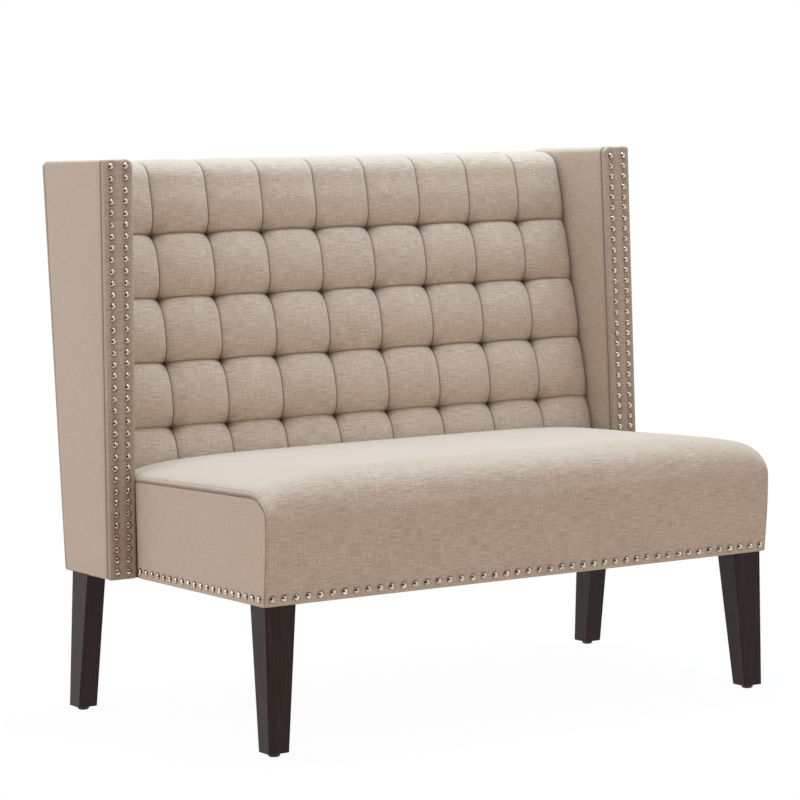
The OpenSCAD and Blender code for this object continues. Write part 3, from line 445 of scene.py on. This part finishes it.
# half its width is given in front of the wings and between them, and its corner is the bend over the front
# the held values are how far in from the sides, how low and how far back the sheet is held as it swells
# the crease values are the darkness and width of the painted shade along the side seams
seat = {"half": 0.555, "between": 0.5493, "front": -0.375, "edge": -0.361, "foot": 0.267, "rear": 0.175,
        "cornerZ": 0.419, "cornerDepth": 0.062, "cornerHeight": 0.038, "cornerRun": 0.0797,
        "seamZ": 0.457, "seamFall": 0.008, "hem": 0.014, "tuck": 0.030, "tuckRound": 0.010,
        "frontCrown": 0.004, "frontFlat": 0.2, "crown": 0.040, "crownPower": 6.5, "endShare": 0.82,
        "sink": 0.0026, "sinkWidth": 0.0022, "creaseShade": 0.75, "creaseWidth": 0.0012,
        "cells": (110, 112), "crowd": 1.6, "thick": 0.004,
        "heldSide": (0.004, 0.03), "heldLow": (0.290, 0.330), "heldBack": (0.150, 0.172),
        "swell": {"pressure": 4.0, "stiffness": 20, "bending": 4.0, "frames": 16, "cap": 0.003}}
cornerY = seat["front"] + seat["cornerDepth"]
seatRear = bench["wingFront"] - bench["seatGap"]
# the cloth's runs: the hem, up the front, round the corner, over the top and down the tuck
seatRuns = [seat["hem"], seat["cornerZ"] - seat["foot"], seat["cornerRun"],
            seat["rear"] - seat["front"] - seat["cornerDepth"], seat["tuck"]]


def seatStation(d):
    # the seam's profile d metres along the cloth, the way its crown rises there and how far
    hem, rise, bend, top = seatRuns[:4]
    if d < hem:
        return seat["edge"] + hem - d, seat["foot"], 0, -1, 0
    d -= hem
    if d < rise:
        s = d / rise
        y = mix(seat["edge"], seat["front"], math.sin(s * math.pi / 2))
        return y, seat["foot"] + d, -1, 0, seat["frontCrown"] * ease(seat["frontFlat"], 1, s)
    d -= rise
    if d < bend:
        a = d / bend * math.pi / 2
        y = cornerY - seat["cornerDepth"] * math.cos(a)
        z = seat["cornerZ"] + seat["cornerHeight"] * math.sin(a)
        return y, z, -math.cos(a), math.sin(a), mix(seat["frontCrown"], seat["crown"], math.sin(a) ** 2)
    d -= bend
    if d < top:
        s = d / top
        crown = seat["crown"] * (1 - (1 - seat["endShare"]) * s * s)
        return cornerY + d, seat["seamZ"] - seat["seamFall"] * s, 0, 1, crown
    d -= top
    turn = seat["tuckRound"]
    a = min(1, d / (turn * math.pi / 2)) * math.pi / 2
    drop = max(0, d - turn * math.pi / 2)
    y = seat["rear"] - turn + turn * math.sin(a)
    z = seat["seamZ"] - seat["seamFall"] - turn + turn * math.cos(a) - drop
    return y, z, 0, 1, seat["crown"] * seat["endShare"]


def crownAt(rise, across):
    # the crown holds nearly its full rise until close to the side seams
    return rise * max(0, 1 - abs(across) ** seat["crownPower"]) ** 0.5


def seatPlace(u, v):
    t = 2 * u - 1
    across = math.copysign(1 - (1 - min(1, abs(t))) ** seat["crowd"], t)
    d = v * sum(seatRuns)
    y, z, wayY, wayZ, rise = seatStation(d)
    half = seat["half"] if y < seatRear else seat["between"]
    edge = half * (1 - abs(across))
    lift = crownAt(rise, across) - seat["sink"] * math.exp(-edge / seat["sinkWidth"])
    sewn = seatRuns[0] < d < sum(seatRuns[:4])
    # painted shade along the side seams, where the cloth is sewn
    creaseShade = fading(seat["creaseShade"], seat["creaseWidth"], edge) if sewn else 0
    return Vector((across * half, y + wayY * lift, z + wayZ * lift)), (across * half, d), creaseShade


def seatHold(bm):
    # how firmly each point is held: fully along the side seams, low down the front and at the back
    hold = []
    for vert in bm.verts:
        side = 1 - ease(*seat["heldSide"], seat["half"] - abs(vert.co.x))
        low = 1 - ease(*seat["heldLow"], vert.co.z)
        hold.append(max(side, low, ease(*seat["heldBack"], vert.co.y)))
    return hold


seatSheet = openPanel(seat["cells"], seatPlace, Vector((0, -0.5, 1)))
inflate(seatSheet, seatHold(seatSheet), seat["swell"])
closeBehind(seatSheet, inward(seat["thick"]))
seatCover = keep(seatSheet, "seatCover", linenCloth,
                 ["seat_top_cover", "seat_foam", "front_edge_pad"], levels=1)
print("seat cover made")

# the seat's flat side panels

# the crease values are the darkness and width of the painted shade along the panel's seams
seatSide = {"cells": (64, 34), "crowd": 1.35, "swell": 0.0018, "sink": 0.0030, "sinkWidth": 0.0026,
            "creaseShade": 0.6, "creaseWidth": 0.0010, "topShare": 1.2, "thick": 0.004}


def seamAt(y):
    return seat["seamZ"] - seat["seamFall"] * max(0, (y - cornerY) / (seat["rear"] - cornerY))


def seatFrontAt(z):
    if z < seat["cornerZ"]:
        return mix(seat["edge"], seat["front"], math.sin((z - seat["foot"]) / seatRuns[1] * math.pi / 2))
    a = math.asin(min(1, (z - seat["cornerZ"]) / seat["cornerHeight"]))
    return cornerY - seat["cornerDepth"] * math.cos(a)


def sidePlace(side):
    def place(u, v):
        v = 1 - (1 - v) ** seatSide["crowd"]
        front = seatFrontAt(mix(seat["foot"], seat["seamZ"], v))
        y = mix(seatRear, front, 1 - (1 - u) ** seatSide["crowd"])
        z = mix(seat["foot"], seamAt(y), v)
        edge = min(y - seatFrontAt(min(z, seat["seamZ"])), (seamAt(y) - z) * seatSide["topShare"])
        sunk = seatSide["sink"] * math.exp(-max(0, edge) / seatSide["sinkWidth"])
        swell = seatSide["swell"] * math.sin(math.pi * min(1, u)) * math.sin(math.pi * v)
        # painted shade along the panel's seams
        creaseShade = fading(seatSide["creaseShade"], seatSide["creaseWidth"], edge)
        return Vector((side * (seat["half"] - sunk + swell), y, z)), (y, z), creaseShade
    return place


for side, name in bothSides:
    sideSheet = openPanel(seatSide["cells"], sidePlace(side), Vector((side, 0, 0)))
    closeBehind(sideSheet, inward(seatSide["thick"]))
    sidePanel = keep(sideSheet, "seatSide" + name, linenCloth,
                     ["seat_side_cover_" + name.lower()], levels=1)
print("seat sides made")

# the row of top stitches beside each side seam, from above the hem until short of the wing

topStitch = {"in": 0.0050, "start": 0.004, "end": 0.062, "points": 90, "sunk": 0.0002, "tilt": 0.5}


def topStitchLine(side):
    line = []
    across = 1 - topStitch["in"] / seat["half"]
    low, high = seatRuns[0] + topStitch["start"], sum(seatRuns[:4]) - topStitch["end"]
    for i in range(topStitch["points"]):
        y, z, wayY, wayZ, rise = seatStation(mix(low, high, i / (topStitch["points"] - 1)))
        lift = crownAt(rise, across) - topStitch["sunk"]
        line.append((Vector((side * across * seat["half"], y + wayY * lift, z + wayZ * lift)),
                     Vector((side * topStitch["tilt"], wayY, wayZ)).normalized()))
    return line


stitches("seatStitches", [topStitchLine(-1), topStitchLine(1)])
print("seat stitches made")

# the tufted back: nine tufts across and four rows under a long top row that rolls over the rail
# a groove is given as its depth and its width, and a crease's painted shade as its darkness and its width

tufts = {"columns": 9, "rows": 4, "cells": 14, "topCells": 26, "crowd": 0.8, "vary": 0.05, "rear": 0.3735,
         "low": 0.411, "rowHeight": 0.1215, "foot": 0.207, "footZ": 0.478, "slope": 0.17018, "topZ": 1.0338,
         "roll": 0.034, "rollNear": 0.05, "rollLoss": 0.10, "topRise": 0.075, "topEven": 0.35,
         "puff": 0.031, "lowPuff": 0.027, "topPuff": 0.011, "archPower": 2.2,
         "uprightSeam": 0.68, "levelSeam": 0.48, "besideWing": 0.75, "wingSeam": 0.16, "wingPower": 6,
         "wingGap": 0.0003,
         "uprightGroove": (0.0022, 0.0016), "levelGroove": (0.0024, 0.0018), "pit": (0.006, 0.016),
         "bow": (0.0045, 0.022), "bowLoss": 0.6, "grooveLoss": 0.8, "grooveAtSeam": 0.3,
         "uprightCreaseShade": (0.75, 0.0010), "levelCreaseShade": (0.55, 0.0011), "pitCreaseShade": (0.75, 0.006),
         "pitShade": (0.28, 0.018), "darkest": 0.9,
         "backZ": 1.026, "backRise": 0.05, "backFrom": 0.33, "thick": 0.037,
         "swell": {"pressure": 2.5, "stiffness": 30, "bending": 3.0, "frames": 16, "cap": 0.0025}}
tuftLean = math.atan(tufts["slope"])
middleZ = tufts["low"] + 2.5 * tufts["rowHeight"]  # the middle of the third row, which sets the columns
tuftPitch = 2 * innerAt(middleZ) / tufts["columns"]
rollRun = tufts["roll"] * math.tan((math.pi / 2 - tuftLean) / 2)
rollZ = tufts["topZ"] - rollRun * math.cos(tuftLean)
faceRun = (rollZ - tufts["low"]) / math.cos(tuftLean)
rollArc = tufts["roll"] * (math.pi / 2 - tuftLean)
tuftRise = tufts["rowHeight"] / math.cos(tuftLean)


def tuftPlaneAt(z):
    return tufts["foot"] + (z - tufts["footZ"]) * tufts["slope"]


rollY = tuftPlaneAt(rollZ) + tufts["roll"] * math.cos(tuftLean)
topRun = tufts["rear"] - rollY
tuftVary = {(column, row): random.uniform(1 - tufts["vary"], 1 + tufts["vary"])
            for column in range(tufts["columns"]) for row in range(tufts["rows"] + 1)}


def tuftStation(d):
    # the face's plane, the roll over the top rail and the level top, with the way that the tufts swell
    if d < faceRun:
        z = tufts["low"] + d * math.cos(tuftLean)
        puff = tufts["puff"] * (1 - tufts["rollLoss"] * ease(faceRun - tufts["rollNear"], faceRun, d))
        return tuftPlaneAt(z), z, tuftLean, puff
    d -= faceRun
    turned = min(1, d / rollArc)
    a = tuftLean + turned * (math.pi / 2 - tuftLean)
    puff = mix(tufts["puff"] * (1 - tufts["rollLoss"]), tufts["topPuff"], ease(0, 1, turned))
    y = rollY - tufts["roll"] * math.cos(a) + max(0, d - rollArc)
    z = rollZ - tufts["roll"] * math.sin(tuftLean) + tufts["roll"] * math.sin(a)
    return y, z, a, puff


def crowded(s):
    # draws the cells together beside the seams
    return s - tufts["crowd"] * math.sin(2 * math.pi * s) / (2 * math.pi)


def arch(s):
    # 0 at a seam and 1 in the middle: one arch that is steep at the seam, and its mean with a gentle one
    q = abs(2 * s - 1)
    steep = math.sqrt(max(0, 1 - q ** tufts["archPower"]))
    return steep, 0.5 * steep + 0.5 * (1 - q * q)


def tuftPlace(u, v):
    columns, rows, cells = tufts["columns"], tufts["rows"], tufts["cells"]
    k = u * columns
    column = min(columns - 1, int(k + 1e-6))
    s = crowded(k - column)
    k = v * (rows * cells + tufts["topCells"])
    if k < rows * cells - 1e-6:
        row = int(k / cells + 1e-6)
        r = crowded(k / cells - row)
        d = (row + r) * tuftRise
        steepLevel, level = arch(r)
        nearLevel = min(r, 1 - r) * tuftRise
    else:
        # the long top row rises from its seam and stays full over the rail
        row = rows
        e = (k - rows * cells) / tufts["topCells"]
        nearLevel = (faceRun + rollArc + topRun - rows * tuftRise) * mix(e, e * e, tufts["topEven"])
        d = rows * tuftRise + nearLevel
        steepLevel, level = arch(0.5 * min(1, nearLevel / tufts["topRise"]))
    y, z, way, puff = tuftStation(d)
    if row == 0:
        puff = tufts["lowPuff"]
    # the end tufts flatten from their middles to the wings
    beside = 0
    if column == 0:
        beside = max(0, 1 - 2 * s)
    elif column == columns - 1:
        beside = max(0, 2 * s - 1)
    flat = ease(0, 1, beside)
    level += (1 - level) * tufts["besideWing"] * flat
    steepLevel += (1 - steepLevel) * tufts["besideWing"] * flat
    # seams are drawn into a narrow crease, and the ties between four tufts draw in a wider pit
    steepAcross, across = arch(s)
    nearUpright = min(s, 1 - s) * tuftPitch
    nearTie = math.hypot(nearUpright, nearLevel)
    upright = mix(tufts["uprightSeam"], tufts["wingSeam"], beside ** tufts["wingPower"])
    puff *= 1 + (tuftVary[column, row] - 1) * across * level
    h = puff * (across * level + upright * (1 - across) * steepLevel
                + tufts["levelSeam"] * steepAcross * (1 - level))
    depth, width = tufts["uprightGroove"]
    h -= depth * math.exp(-nearUpright / width) * mix(tufts["grooveAtSeam"], 1, level)
    depth, width = tufts["levelGroove"]
    h -= depth * math.exp(-nearLevel / width) * (1 - tufts["grooveLoss"] * flat)
    h -= fading(*tufts["pit"], nearTie)
    y -= h * math.cos(way)
    z += h * math.sin(way)
    # each pillow bulges up over the seam above it, so the seam bows
    z += steepAcross * fading(*tufts["bow"], nearLevel) * (1 - tufts["bowLoss"] * flat)
    left = -innerAt(z) + tufts["wingGap"] if column == 0 else (column - columns / 2) * tuftPitch
    right = innerAt(z) - tufts["wingGap"] if column == columns - 1 else (column + 1 - columns / 2) * tuftPitch
    # painted shade in the seams and pits, and a broader painted shade round each tie, no darker than darkest
    creaseShade = max(fading(*tufts["uprightCreaseShade"], nearUpright), fading(*tufts["levelCreaseShade"], nearLevel),
                 fading(*tufts["pitCreaseShade"], nearTie)) + fading(*tufts["pitShade"], nearTie)
    x = mix(left, right, s)
    return Vector((x, y, z)), (x, d), min(tufts["darkest"], creaseShade)


def tuftRear(point, normal):
    y = max(point.y, tuftPlaneAt(min(point.z, tufts["backZ"])) + tufts["thick"])
    z = min(point.z, tufts["backZ"] + tufts["backRise"] * (y - tufts["backFrom"]))
    return Vector((point.x, y, z))


def tuftHold(bm, cells):
    # the seams and the sheet's edges are held, and the tufts between them are free
    across, along = cells
    hold = []
    for index in range(len(bm.verts)):
        i, j = index % (across + 1), index // (across + 1)
        seamUp = i % tufts["cells"] == 0
        seamLevel = j <= tufts["rows"] * tufts["cells"] and j % tufts["cells"] == 0
        hold.append(1.0 if seamUp or seamLevel or i in (0, across) or j in (0, along) else 0.0)
    return hold


tuftCells = (tufts["columns"] * tufts["cells"], tufts["rows"] * tufts["cells"] + tufts["topCells"])
tuftSheet = openPanel(tuftCells, tuftPlace, Vector((0, -1, 0.3)))
inflate(tuftSheet, tuftHold(tuftSheet, tuftCells), tufts["swell"])
closeBehind(tuftSheet, tuftRear)
tuftedBack = keep(tuftSheet, "tuftedBack", linenCloth, ["tufted_back"], levels=1)
print("tufted back made")

# wings: a padded body and a front strip with two columns of nails
# edges above overZ are a wing's top ones, and those inside middleX are its inner ones
# an edge longer than long runs back along the wing, and the body's rounded edges start at roundFrom

wing = {"front": bench["wingFront"] + bench["strip"], "gap": 0.0003, "behind": 0.004, "overZ": 1,
        "middleX": 0.56, "long": 0.05, "roundFrom": 0.15,
        "innerRound": 0.012, "outerRound": 0.006, "frontRound": 0.0026,
        "cutsY": [0.1345, 0.1385, 0.143] + steps(0.15, 0.36, 0.03), "cutsZ": steps(0.30, 1.02, 0.04),
        "puff": 0.0015, "skin": 0.002, "puffFront": 0.20, "puffRear": (0.30, 0.37), "puffLow": 0.33,
        "puffHigh": (0.98, 1.04), "creaseShade": (0.55, 0.0035), "shade": (0.12, 0.012),
        "nailOuter": 0.015, "nailInner": 0.016, "nailLow": 0.282, "nailHigh": 1.033, "nailPitch": 0.0215,
        "nailSlip": 0.001, "nailSunk": 0.0002}
strip = {"long": 0.005, "innerRound": 0.014, "outerRound": 0.006, "sideRound": 0.004,
         "frontRound": 0.0045, "rearRound": 0.0022, "skin": 0.003, "pull": 0.0022, "pullWidth": 0.0055,
         "cutsX": [0.5375 + i * 0.0036 for i in range(1, 20)], "cutsZ": steps(0.28, 1.03, 0.0086),
         "shade": 0.17, "lowShade": 0.14, "lowFade": (0.35, 0.80), "nailShade": 75}


def wingBlock(side, near, far):
    # a wing's slab from the near plane back to the far one, which leans with the height
    def corners(i, j, k):
        z = (bench["foot"], bench["rimLeft" if side < 0 else "rimRight"])[k]
        return Vector((side * (innerAt(z), outerAt(z))[i], (near, far(z))[j], z))
    return corners


def wingBody(side):
    bm = cornered(wingBlock(side, wing["front"] + wing["gap"], lambda z: rearAt(z) - wing["behind"]), [
        (lambda p, d: abs(d.y) > wing["long"] and p.z > wing["overZ"] and side * p.x < wing["middleX"],
         wing["innerRound"], 5),
        (lambda p, d: p.y > wing["roundFrom"] or abs(d.y) > wing["long"], wing["outerRound"], 4),
        (lambda p, d: p.y < wing["front"] + bench["near"], wing["frontRound"], 3)],
        [[], wing["cutsY"], wing["cutsZ"]])
    for vert in bm.verts:
        x, y, z = side * vert.co.x, vert.co.y, vert.co.z
        middle = ease(wing["front"], wing["puffFront"], y) * (1 - ease(*wing["puffRear"], y))
        middle *= ease(bench["foot"], wing["puffLow"], z) * (1 - ease(*wing["puffHigh"], z))
        if x > outerAt(z) - wing["skin"]:
            vert.co.x += side * wing["puff"] * middle
    # painted shade along the seam with the strip: a narrow dark line and a broad faint band
    wrapCloth(bm, lambda point: fading(*wing["creaseShade"], point.y - wing["front"])
              + fading(*wing["shade"], point.y - wing["front"]))
    return bm


def stripSurface(x, z):
    # how far the strip's face sinks beside the nails, which pull it in
    inner, outer = x - innerAt(z), outerAt(z) - x
    return (fading(strip["pull"], strip["pullWidth"], inner - wing["nailInner"])
            + fading(strip["pull"], strip["pullWidth"], outer - wing["nailOuter"]))


def stripShade(x, z):
    # painted shade: the strip is drawn darker than the covers, more low down where the seat shades it and
    # beside the nails
    low = 1 - ease(*strip["lowFade"], z)
    return strip["shade"] + strip["lowShade"] * low + strip["nailShade"] * stripSurface(x, z)


def wingStrip(side):
    def topEdge(p, d):
        return abs(d.y) > strip["long"] and p.z > wing["overZ"]

    bm = cornered(wingBlock(side, bench["wingFront"], lambda z: wing["front"]), [
        (lambda p, d: topEdge(p, d) and side * p.x < wing["middleX"], strip["innerRound"], 5),
        (lambda p, d: topEdge(p, d) and side * p.x > wing["middleX"], strip["outerRound"], 4),
        (lambda p, d: abs(d.y) > strip["long"] and p.z < wing["overZ"], strip["sideRound"], 3),
        (lambda p, d: p.y < bench["wingFront"] + bench["near"], strip["frontRound"], 4),
        (lambda p, d: p.y > wing["front"] - bench["near"], strip["rearRound"], 2)],
        [sorted(side * x for x in strip["cutsX"]), [], strip["cutsZ"]])
    for vert in bm.verts:
        if vert.co.y < bench["wingFront"] + strip["skin"]:
            vert.co.y += stripSurface(side * vert.co.x, vert.co.z)
    wrapCloth(bm, lambda point: stripShade(side * point.x, point.z))
    return bm


# a nail's head: its radius across and its height, how far it leans and slips, and its mesh
nail = {"half": (0.0066, 0.0066, 0.0045), "lean": 0.09, "slip": 0.0004, "around": 14, "down": 8}


def studs(name, places, replaced):
    # domed heads, each tilted a little as a hammer leaves them
    heads = []
    for point, facing in places:
        tilt = Vector([random.uniform(-nail["lean"], nail["lean"]) for i in range(3)])
        turn = (facing + tilt).to_track_quat("Z", "Y").to_matrix().to_4x4()
        slip = Vector([random.uniform(-nail["slip"], nail["slip"]) * (1 - abs(c)) for c in facing])
        heads.append(Matrix.Translation(point + slip) @ turn @ Matrix.Diagonal((*nail["half"], 1)))
    mesh = repeated(heads, nail["around"], nail["down"])
    return keep(mesh, name, slotFinish["nail_heads"], replaced)


for side, name in bothSides:
    end = name.lower()
    body = keep(wingBody(side), "wingBody" + name, linenCloth,
                ["wing_outside_cover_" + end, "wing_inside_pad_" + end])
    front = keep(wingStrip(side), "wingStrip" + name, linenCloth, ["wing_front_strip_" + end])
    places = []
    for z in steps(wing["nailLow"], wing["nailHigh"], wing["nailPitch"]):
        for x in (innerAt(z) + wing["nailInner"], outerAt(z) - wing["nailOuter"]):
            y = bench["wingFront"] + stripSurface(x, z) - wing["nailSunk"]
            slipped = z + random.uniform(-wing["nailSlip"], wing["nailSlip"])
            places.append((Vector((side * x, y, slipped)), Vector((0, -1, 0))))
    studs("wingNails" + name, places, ["wing_nails_" + end])

# the seam where each strip meets its wing, outside and inside, the inside one from above the seat
seamLine = {"behind": 0.0036, "proud": 0.0001, "outerLow": 0.279, "innerLow": 0.485, "high": 1.030,
            "step": 0.05}
seamLines = []
for side in (-1, 1):
    for plane, way, low in ((outerAt, 1, seamLine["outerLow"]), (innerAt, -1, seamLine["innerLow"])):
        seamLines.append([(Vector((side * (plane(z) + way * seamLine["proud"]),
                                   wing["front"] + seamLine["behind"], z)), Vector((side * way, 0, 0)))
                          for z in steps(low, seamLine["high"], seamLine["step"])])
stitches("wingStitches", seamLines)
print("wings made")

# seat nails, in a row along the front and along each side

seatNail = {"up": 0.014, "end": 0.015, "pitch": 0.0245, "sidePitch": 0.0235, "proud": 0.0002, "lean": 0.14}
nailZ = seat["foot"] + seatNail["up"]
nailY = seatStation(seat["hem"] + seatNail["up"])[0] - seatNail["proud"]
lastX = seat["half"] - seatNail["end"]
studs("seatNailsFront", [(Vector((x, nailY, nailZ)), Vector((0, -1, -seatNail["lean"])).normalized())
                         for x in steps(-lastX, lastX, seatNail["pitch"])], ["seat_front_nails"])
sideX = seat["half"] + seatNail["proud"]
sideYs = steps(seat["edge"] + seatNail["end"], bench["wingFront"] - seatNail["end"], seatNail["sidePitch"])
for side, name in bothSides:
    studs("seatNails" + name, [(Vector((side * sideX, y, nailZ)), Vector((side, 0, 0))) for y in sideYs],
          ["seat_side_nails_" + name.lower()])
print("seat nails made")

# outside back: a flat cover, pulled over a board

back = {"proud": 0.0006, "inner": -0.0045, "outer": 0.0005, "cornerRound": 0.007, "edgeRound": 0.0022,
        "cutsX": [-0.586, -0.582] + steps(-0.54, 0.54, 0.06) + [0.582, 0.586],
        "cutsZ": steps(0.32, 1.0, 0.06),
        "puff": 0.0016, "puffSide": (0.50, 0.60), "puffLow": 0.33, "puffHigh": 0.98}


def backCorners(i, j, k):
    z = (bench["foot"], bench["backLeft" if i == 0 else "backRight"])[k]
    y = rearAt(z) + (back["inner"], back["outer"])[j]
    return Vector(((-1, 1)[i] * (outerAt(z) + back["proud"]), y, z))


def backCorner(p, d):
    # the short edges that run straight back through the cover
    return abs(d.x) + abs(d.z) < 2 * bench["near"]


backSheet = cornered(backCorners, [(backCorner, back["cornerRound"], 4),
                                   (lambda p, d: True, back["edgeRound"], 3)],
                     [back["cutsX"], [], back["cutsZ"]])
for vert in backSheet.verts:
    x, y, z = vert.co
    if y > rearAt(z) - bench["near"]:
        upright = ease(bench["foot"], back["puffLow"], z) * (1 - ease(back["puffHigh"], bench["top"], z))
        vert.co.y += back["puff"] * (1 - ease(*back["puffSide"], abs(x))) * upright
wrapCloth(backSheet)
outsideBack = keep(backSheet, "outsideBack", linenCloth, ["rear_cover"])
print("outside back made")

# dust cloth, tacked under the seat frame and cut out round the front legs

dust = {"half": 0.5535, "front": -0.3517, "rear": 0.3045, "under": 0.2683, "sag": 0.0012, "cells": (90, 54),
        "legIn": 0.483, "legRear": -0.296, "thick": 0.0006}


def dustPlace(u, v):
    x, y = mix(-dust["half"], dust["half"], u), mix(dust["front"], dust["rear"], v)
    sag = dust["sag"] * math.sin(math.pi * u) * math.sin(math.pi * v)
    return Vector((x, y, dust["under"] - sag)), (x, y), 0


def underLeg(face):
    middle = face.calc_center_median()
    return abs(middle.x) > dust["legIn"] and middle.y < dust["legRear"]


dustSheet = openPanel(dust["cells"], dustPlace, Vector((0, 0, -1)))
bmesh.ops.delete(dustSheet, geom=[face for face in dustSheet.faces if underLeg(face)], context="FACES")
dustArea = sum(face.calc_area() for face in dustSheet.faces)
bmesh.ops.solidify(dustSheet, geom=dustSheet.faces[:], thickness=dust["thick"])
bmesh.ops.recalc_face_normals(dustSheet, faces=dustSheet.faces)
dustCloth = keep(dustSheet, "dustCloth", slotFinish["dust_cloth"], ["dust_cover"])
print("dust cloth made")

# legs, with the edges eased as sanding leaves them
# each is given as its inner and outer x and its front and rear y, at the foot and then at the top

leg = {"top": 0.2685, "foot": 0.007, "ease": 0.0014,
       "front": ((0.507, 0.548, -0.353, -0.316), (0.486, 0.548, -0.353, -0.299)),
       "back": ((0.574, 0.6125, 0.265, 0.306), (0.5705, 0.609, 0.217, 0.282))}


def legCorners(which, side):
    def place(i, j, k):
        xIn, xOut, yFront, yRear = leg[which][k]
        return Vector((side * (xIn, xOut)[i], (yFront, yRear)[j], (leg["foot"], leg["top"])[k]))
    return place


for side, name in bothSides:
    for which in ("front", "back"):
        bm = cornered(legCorners(which, side), [(lambda p, d: True, leg["ease"], 2)])
        bmesh.ops.recalc_face_normals(bm, faces=bm.faces)
        keep(bm, which + "Leg" + name, slotFinish["leg_timber"],
             [which + "_leg_" + name.lower()], smooth=False)
print("legs made")

# camera, floor and light


def aim(place, yaw, pitch, roll):
    # yaw turns the camera from +Y towards +X, pitch lifts it and roll tips it, all in degrees
    yaw, pitch, roll = (math.radians(a) for a in (yaw, pitch, roll))
    forward = Vector((math.sin(yaw) * math.cos(pitch), math.cos(yaw) * math.cos(pitch), math.sin(pitch)))
    level = Vector((math.cos(yaw), -math.sin(yaw), 0))
    down = forward.cross(level)
    right = math.cos(roll) * level + math.sin(roll) * down
    below = -math.sin(roll) * level + math.cos(roll) * down
    turn = Matrix((right, -below, -forward)).transposed().to_4x4()
    return Matrix.Translation(place) @ turn


camera = bpy.data.objects.new("camera", bpy.data.cameras.new("camera"))
camera.data.lens = shot["lens"]
camera.data.sensor_width = shot["sensor"]
camera.data.clip_end = shot["far"]
camera.matrix_world = aim(shot["place"], shot["yaw"], shot["pitch"], shot["roll"])
scene.collection.objects.link(camera)
scene.camera = camera

# the warm sky, two disk lamps with their power in watts, and a floor that fades into the white
light = {"sky": 0.682, "skyTint": (1.0, 0.919, 0.876),
         "key": {"place": (0.5, 0.30, 3.6), "target": (0.1, 0, 0.4), "size": 2.2, "power": 129.0,
                 "tint": (0.63, 0.83, 1.0)},
         "side": {"place": (-3.6, 0.8, 1.6), "target": (-0.6, 0.1, 0.6), "size": 1.6, "power": 30.0,
                  "tint": (0.72, 0.84, 1.0)},
         "planeHalf": 4.0, "floorClear": 0.96, "fadeFrom": 0.9, "fadeTo": 2.2, "flagBehind": 0.4}


def whiteToCamera(tree, level, tint):
    # the plain white that the camera and reflections see, and the warm level that lights the bench
    path = addNode(tree, "LightPath")
    seen = addNode(tree, "Math", {0: path.outputs["Is Camera Ray"], 1: path.outputs["Is Glossy Ray"]},
                   operation="MAXIMUM")
    seen = addNode(tree, "Math", {0: seen.outputs[0], 1: path.outputs["Is Transmission Ray"]},
                   operation="MAXIMUM")
    lit = [level * part for part in tint] + [1.0]
    return addNode(tree, "Mix", {0: seen.outputs[0], 6: lit, 7: (1, 1, 1, 1)}, data_type="RGBA").outputs[2]


world = bpy.data.worlds.new("studio")
scene.world = world
world.use_nodes = True
sky = world.node_tree
sky.nodes.clear()
glow = addNode(sky, "Background", {"Color": whiteToCamera(sky, light["sky"], light["skyTint"]),
                                   "Strength": 1.0})
addNode(sky, "OutputWorld", {"Surface": glow.outputs[0]})


def softBox(name):
    values = light[name]
    lamp = bpy.data.lights.new(name, "AREA")
    lamp.shape = "DISK"
    lamp.size = values["size"]
    lamp.energy = values["power"]
    lamp.color = values["tint"]
    box = bpy.data.objects.new(name, lamp)
    box.location = values["place"]
    way = Vector(values["target"]) - Vector(values["place"])
    box.rotation_euler = way.to_track_quat("-Z", "Y").to_euler()
    scene.collection.objects.link(box)


softBox("key")
softBox("side")


def stagePlane(name, cells, material):
    # a square sheet that belongs to the studio, not to the bench
    bm = bmesh.new()
    bmesh.ops.create_grid(bm, x_segments=cells, y_segments=cells, size=light["planeHalf"])
    mesh = bpy.data.meshes.new(name)
    bm.to_mesh(mesh)
    bm.free()
    mesh.materials.append(material)
    plane = bpy.data.objects.new(name, mesh)
    scene.collection.objects.link(plane)
    return plane


def paleFloor():
    # matt pale paint that keeps the bench's shadow faintly and clears into the white further out
    material, tree, shader = startMaterial("paleFloor", Base_Color=(0.93, 0.93, 0.93, 1), Roughness=0.9,
                                           Specular_IOR_Level=0.1)
    away = addNode(tree, "VectorMath", {0: addNode(tree, "TexCoord").outputs["Object"]}, operation="LENGTH")
    fade = addNode(tree, "MapRange", {"Value": away.outputs["Value"], "From Min": light["fadeFrom"],
                                      "From Max": light["fadeTo"], "To Min": light["floorClear"],
                                      "To Max": 1.0})
    clear = addNode(tree, "BsdfTransparent")
    blend = addNode(tree, "MixShader", {0: fade.outputs[0], 1: shader.outputs[0], 2: clear.outputs[0]})
    output = next(node for node in tree.nodes if node.type == "OUTPUT_MATERIAL")
    tree.links.new(blend.outputs[0], output.inputs["Surface"])
    return material


stagePlane("floor", 2, paleFloor())

# the dark end of the studio behind the camera, which only the nails and the lacquer mirror
blackFlag = startMaterial("blackFlag", Base_Color=(0.01, 0.01, 0.01, 1), Roughness=1.0)[0]
flag = stagePlane("flag", 1, blackFlag)
flag.matrix_world = camera.matrix_world @ Matrix.Translation((0, 0, light["flagBehind"]))
flag.visible_camera = flag.visible_diffuse = flag.visible_shadow = False
scene.view_settings.view_transform = "Standard"
print("camera, floor and light set")
